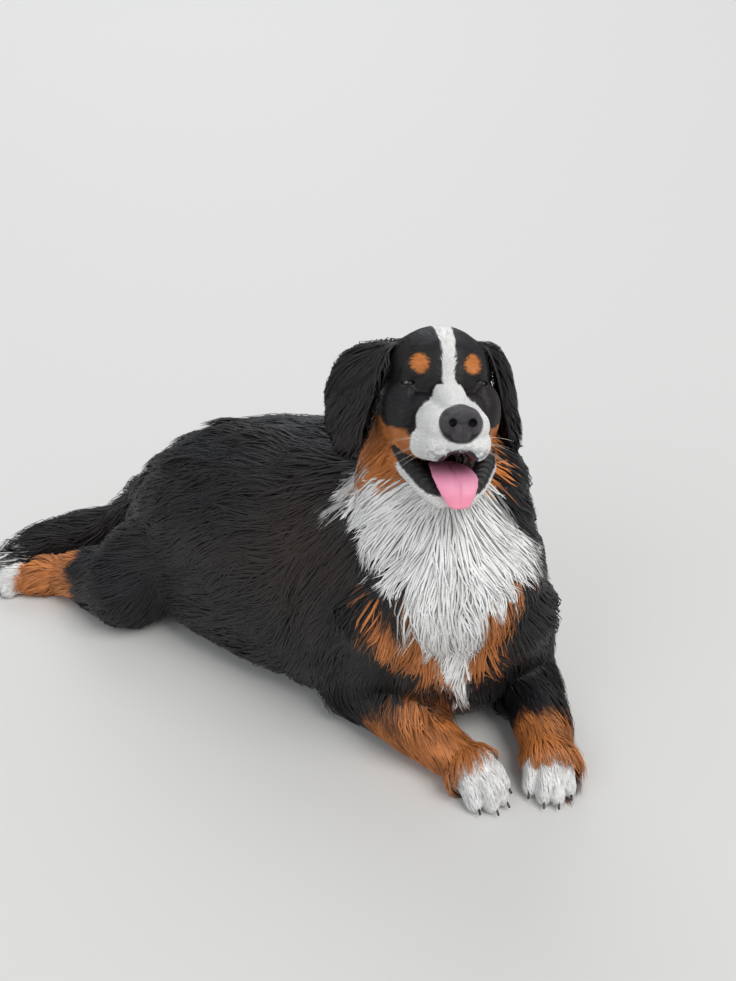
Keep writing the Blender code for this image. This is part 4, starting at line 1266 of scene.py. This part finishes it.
# Tongue: its middle line and half width in centimetres, and its two pinks by height in metres.
tongueForm = {
    "rows": (
        (-1.0, 0, -9.8, 2.2), (3.5, 0, -10.2, 2.7), (6.8, 0.1, -11.3, 2.9), (8.0, 0.2, -13.0, 2.3),
        (8.1, 0.3, -14.4, 1.5),
    ),
    "half": (0.006, 0.0040),
    "voxel": 0.0016,
    "groove": (0.15, 0.35, 0.0018),
    "colours": ((0.92, 0.31, 0.44), (0.58, 0.26, 0.42)),
    "between": (0.475, 0.515),
}


def tongueFinish():
    look = Finish("tongueSkin")
    place = look.place()
    _, _, high = look.axes(place)
    buds = look.node("ShaderNodeTexVoronoi", None, {"Vector": place, "Scale": 700.0})
    patchy = look.noise(60.0, 3.0, place)
    share = look.scaled(high + patchy * 0.02, *tongueForm["between"], 0.0, 1.0)
    return look.finishWith(
        Base_Color=look.blend(share, *tongueForm["colours"]),
        Roughness=patchy * 0.2 + 0.30,
        Normal=look.bump(0.35, 0.0006, buds + patchy),
        Subsurface_Weight=0.2,
        Subsurface_Scale=0.01,
    )


def tongueShape():
    rows = smoothRows(tongueForm["rows"], 12)
    (ahead, thick), (middle, half, depth) = tongueForm["half"], tongueForm["groove"]
    lumps = []
    for i, (f, s, u, width) in enumerate(rows):
        before, after = rows[max(0, i - 1)], rows[min(len(rows) - 1, i + 1)]
        way = (forward * (after[0] - before[0]) + headUp * (after[2] - before[2])).normalized()
        lumps.append(lump(onHead(f, s, u), (ahead, width * 0.01, thick), way, way.cross(headSide)))
    tongue = soften(balls("tongueShape", lumps, 32), tongueForm["voxel"], 5)
    places = vertexArray(tongue.data)
    normals = vertexArray(tongue.data, "normal")
    s = toHead(places)[:, 1]
    groove = np.exp(-(((s - middle) / half) ** 2)) * np.clip(normals @ np.array(forward + headUp), 0, 1)
    places -= normals * (groove * depth)[:, None]
    tongue.data.vertices.foreach_set("co", places.ravel())
    tongue.data.update()
    return tongue


tongue = tongueShape()
dress(tongue, tongueFinish())
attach(tongue, "root")
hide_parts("tongue")


# Whiskers: pale tapering hairs from the sides of the muzzle.
whiskers = {
    "rows": 3, "each": 2, "length": 0.050, "radius": 0.00026, "droop": 0.010, "around": 5,
    "colour": (0.75, 0.70, 0.60), "seed": 3,
}


def whiskerShape():
    shape = bmesh.new()
    draw = np.random.default_rng(whiskers["seed"])
    angles = [2 * pi * k / whiskers["around"] for k in range(whiskers["around"])]
    for side in (-1, 1):
        for row in range(whiskers["rows"]):
            for n in range(whiskers["each"]):
                start = onHead(7.2 - 1.1 * n, side * (3.2 + 0.35 * n), -6.2 - 0.7 * row)
                way = headSide * side - forward * 0.45 + headUp * (0.1 - 0.25 * row)
                way = (way + Vector(draw.normal(0, 0.08, 3))).normalized()
                rings = []
                for t in np.linspace(0, 1, 6):
                    centre = start + way * (whiskers["length"] * t) + down * (whiskers["droop"] * t * t)
                    turn = turnTo(way + down * (0.35 * t)).to_3x3()
                    size = whiskers["radius"] * (1 - 0.85 * t)
                    spokes = [turn @ Vector((0, cos(angle), sin(angle))) * size for angle in angles]
                    rings.append([shape.verts.new(centre + spoke) for spoke in spokes])
                wallBetween(shape, rings)
    return fromBmesh("whiskerShape", shape)


def whiskerFinish():
    look = Finish("whisker")
    tone = look.noise(300.0, 2.0)
    colour = look.blend(tone, whiskers["colour"], [c * 0.8 for c in whiskers["colour"]])
    return look.finishWith(Base_Color=colour, Roughness=tone * 0.1 + 0.35)


whisker = whiskerShape()
whisker.data.materials.append(whiskerFinish())
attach(whisker, "root")


# Claws: where each starts behind and above its toe's front, its length, droop and radius, and its horn.
claws = {
    "back": 0.012, "rise": 0.0185, "length": 0.0155, "droop": 0.011, "radius": 0.0042, "taper": 0.72,
    "colours": ((0.35, (0.022, 0.019, 0.017)), (0.65, (0.11, 0.085, 0.070))),
}


def clawFinish():
    look = Finish("clawHorn")
    streaks = look.noise(260.0, 4.0, look.place())
    return look.finishWith(
        Base_Color=look.ramp(streaks, claws["colours"]),
        Roughness=streaks * 0.2 + 0.3,
        Normal=look.bump(0.3, 0.0004, streaks),
    )


def clawShape(name, root, points):
    start = root - points * claws["back"] + Vector((0, 0, claws["rise"]))
    lumps = []
    for t in np.linspace(0, 1, 14):
        centre = start + points * (claws["length"] * t) + down * (claws["droop"] * t * t)
        size = claws["radius"] * (1 - claws["taper"] * t**1.5)
        lumps.append(lump(centre, (size, size * 0.85, size), points + down * t))
    return soften(balls(name, lumps, 16), 0.0009, 3)


clawMaterial = clawFinish()
for foot in feet:
    for n, (root, points) in enumerate(toeRoots(foot)):
        claw = clawShape("horn_%s_%d" % (foot, n + 1), root, points)
        dress(claw, clawMaterial)
        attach(claw, "root")
        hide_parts("claw_%s_%d" % (foot, n + 1))
print("nose, tongue and claws made")

# Floor and light.
studio = {
    "floor": (0.66, 0.655, 0.64), "floorHalf": 60, "world": 0.50, "sky": (0.93, 0.96, 1.0), "softness": 38,
    "suns": (
        ("key", (1.2, -0.9, 2.4), 1.75, (1.0, 0.98, 0.95)),
        ("fill", (-2.0, -1.8, 1.6), 0.45, (0.95, 0.98, 1.0)),
        ("rim", (-0.4, 2.4, 1.8), 0.7, (0.93, 0.97, 1.0)),
    ),
}


def floorFinish():
    look = Finish("studioFloor")
    grain = look.noise(6.0, 3.0)
    colour = look.blend(grain, studio["floor"], [c * 0.97 for c in studio["floor"]])
    return look.finishWith(Base_Color=colour, Roughness=grain * 0.1 + 0.65)


floorMesh = bpy.data.meshes.new("floor")
half = studio["floorHalf"]
corners = [(-half, -half, 0), (half, -half, 0), (half, half, 0), (-half, half, 0)]
floorMesh.from_pydata(corners, [], [(0, 1, 2, 3)])
floor = addObject("floor", floorMesh)
floor.data.materials.append(floorFinish())


def addSun(name, place, power, colour):
    # Broad soft light from one side, even over the whole floor.
    data = bpy.data.lights.new(name, "SUN")
    data.angle = radians(studio["softness"])
    data.energy = power
    data.color = colour
    light = bpy.data.objects.new(name, data)
    light.rotation_euler = (-Vector(place)).to_track_quat("-Z", "Y").to_euler()
    bpy.context.scene.collection.objects.link(light)


for sun in studio["suns"]:
    addSun(*sun)
bpy.context.scene.view_settings.view_transform = "Standard"
world = bpy.data.worlds.new("studio")
world.use_nodes = True
sky = world.node_tree.nodes["Background"]
sky.inputs[0].default_value = (*studio["sky"], 1)
sky.inputs[1].default_value = studio["world"]
bpy.context.scene.world = world
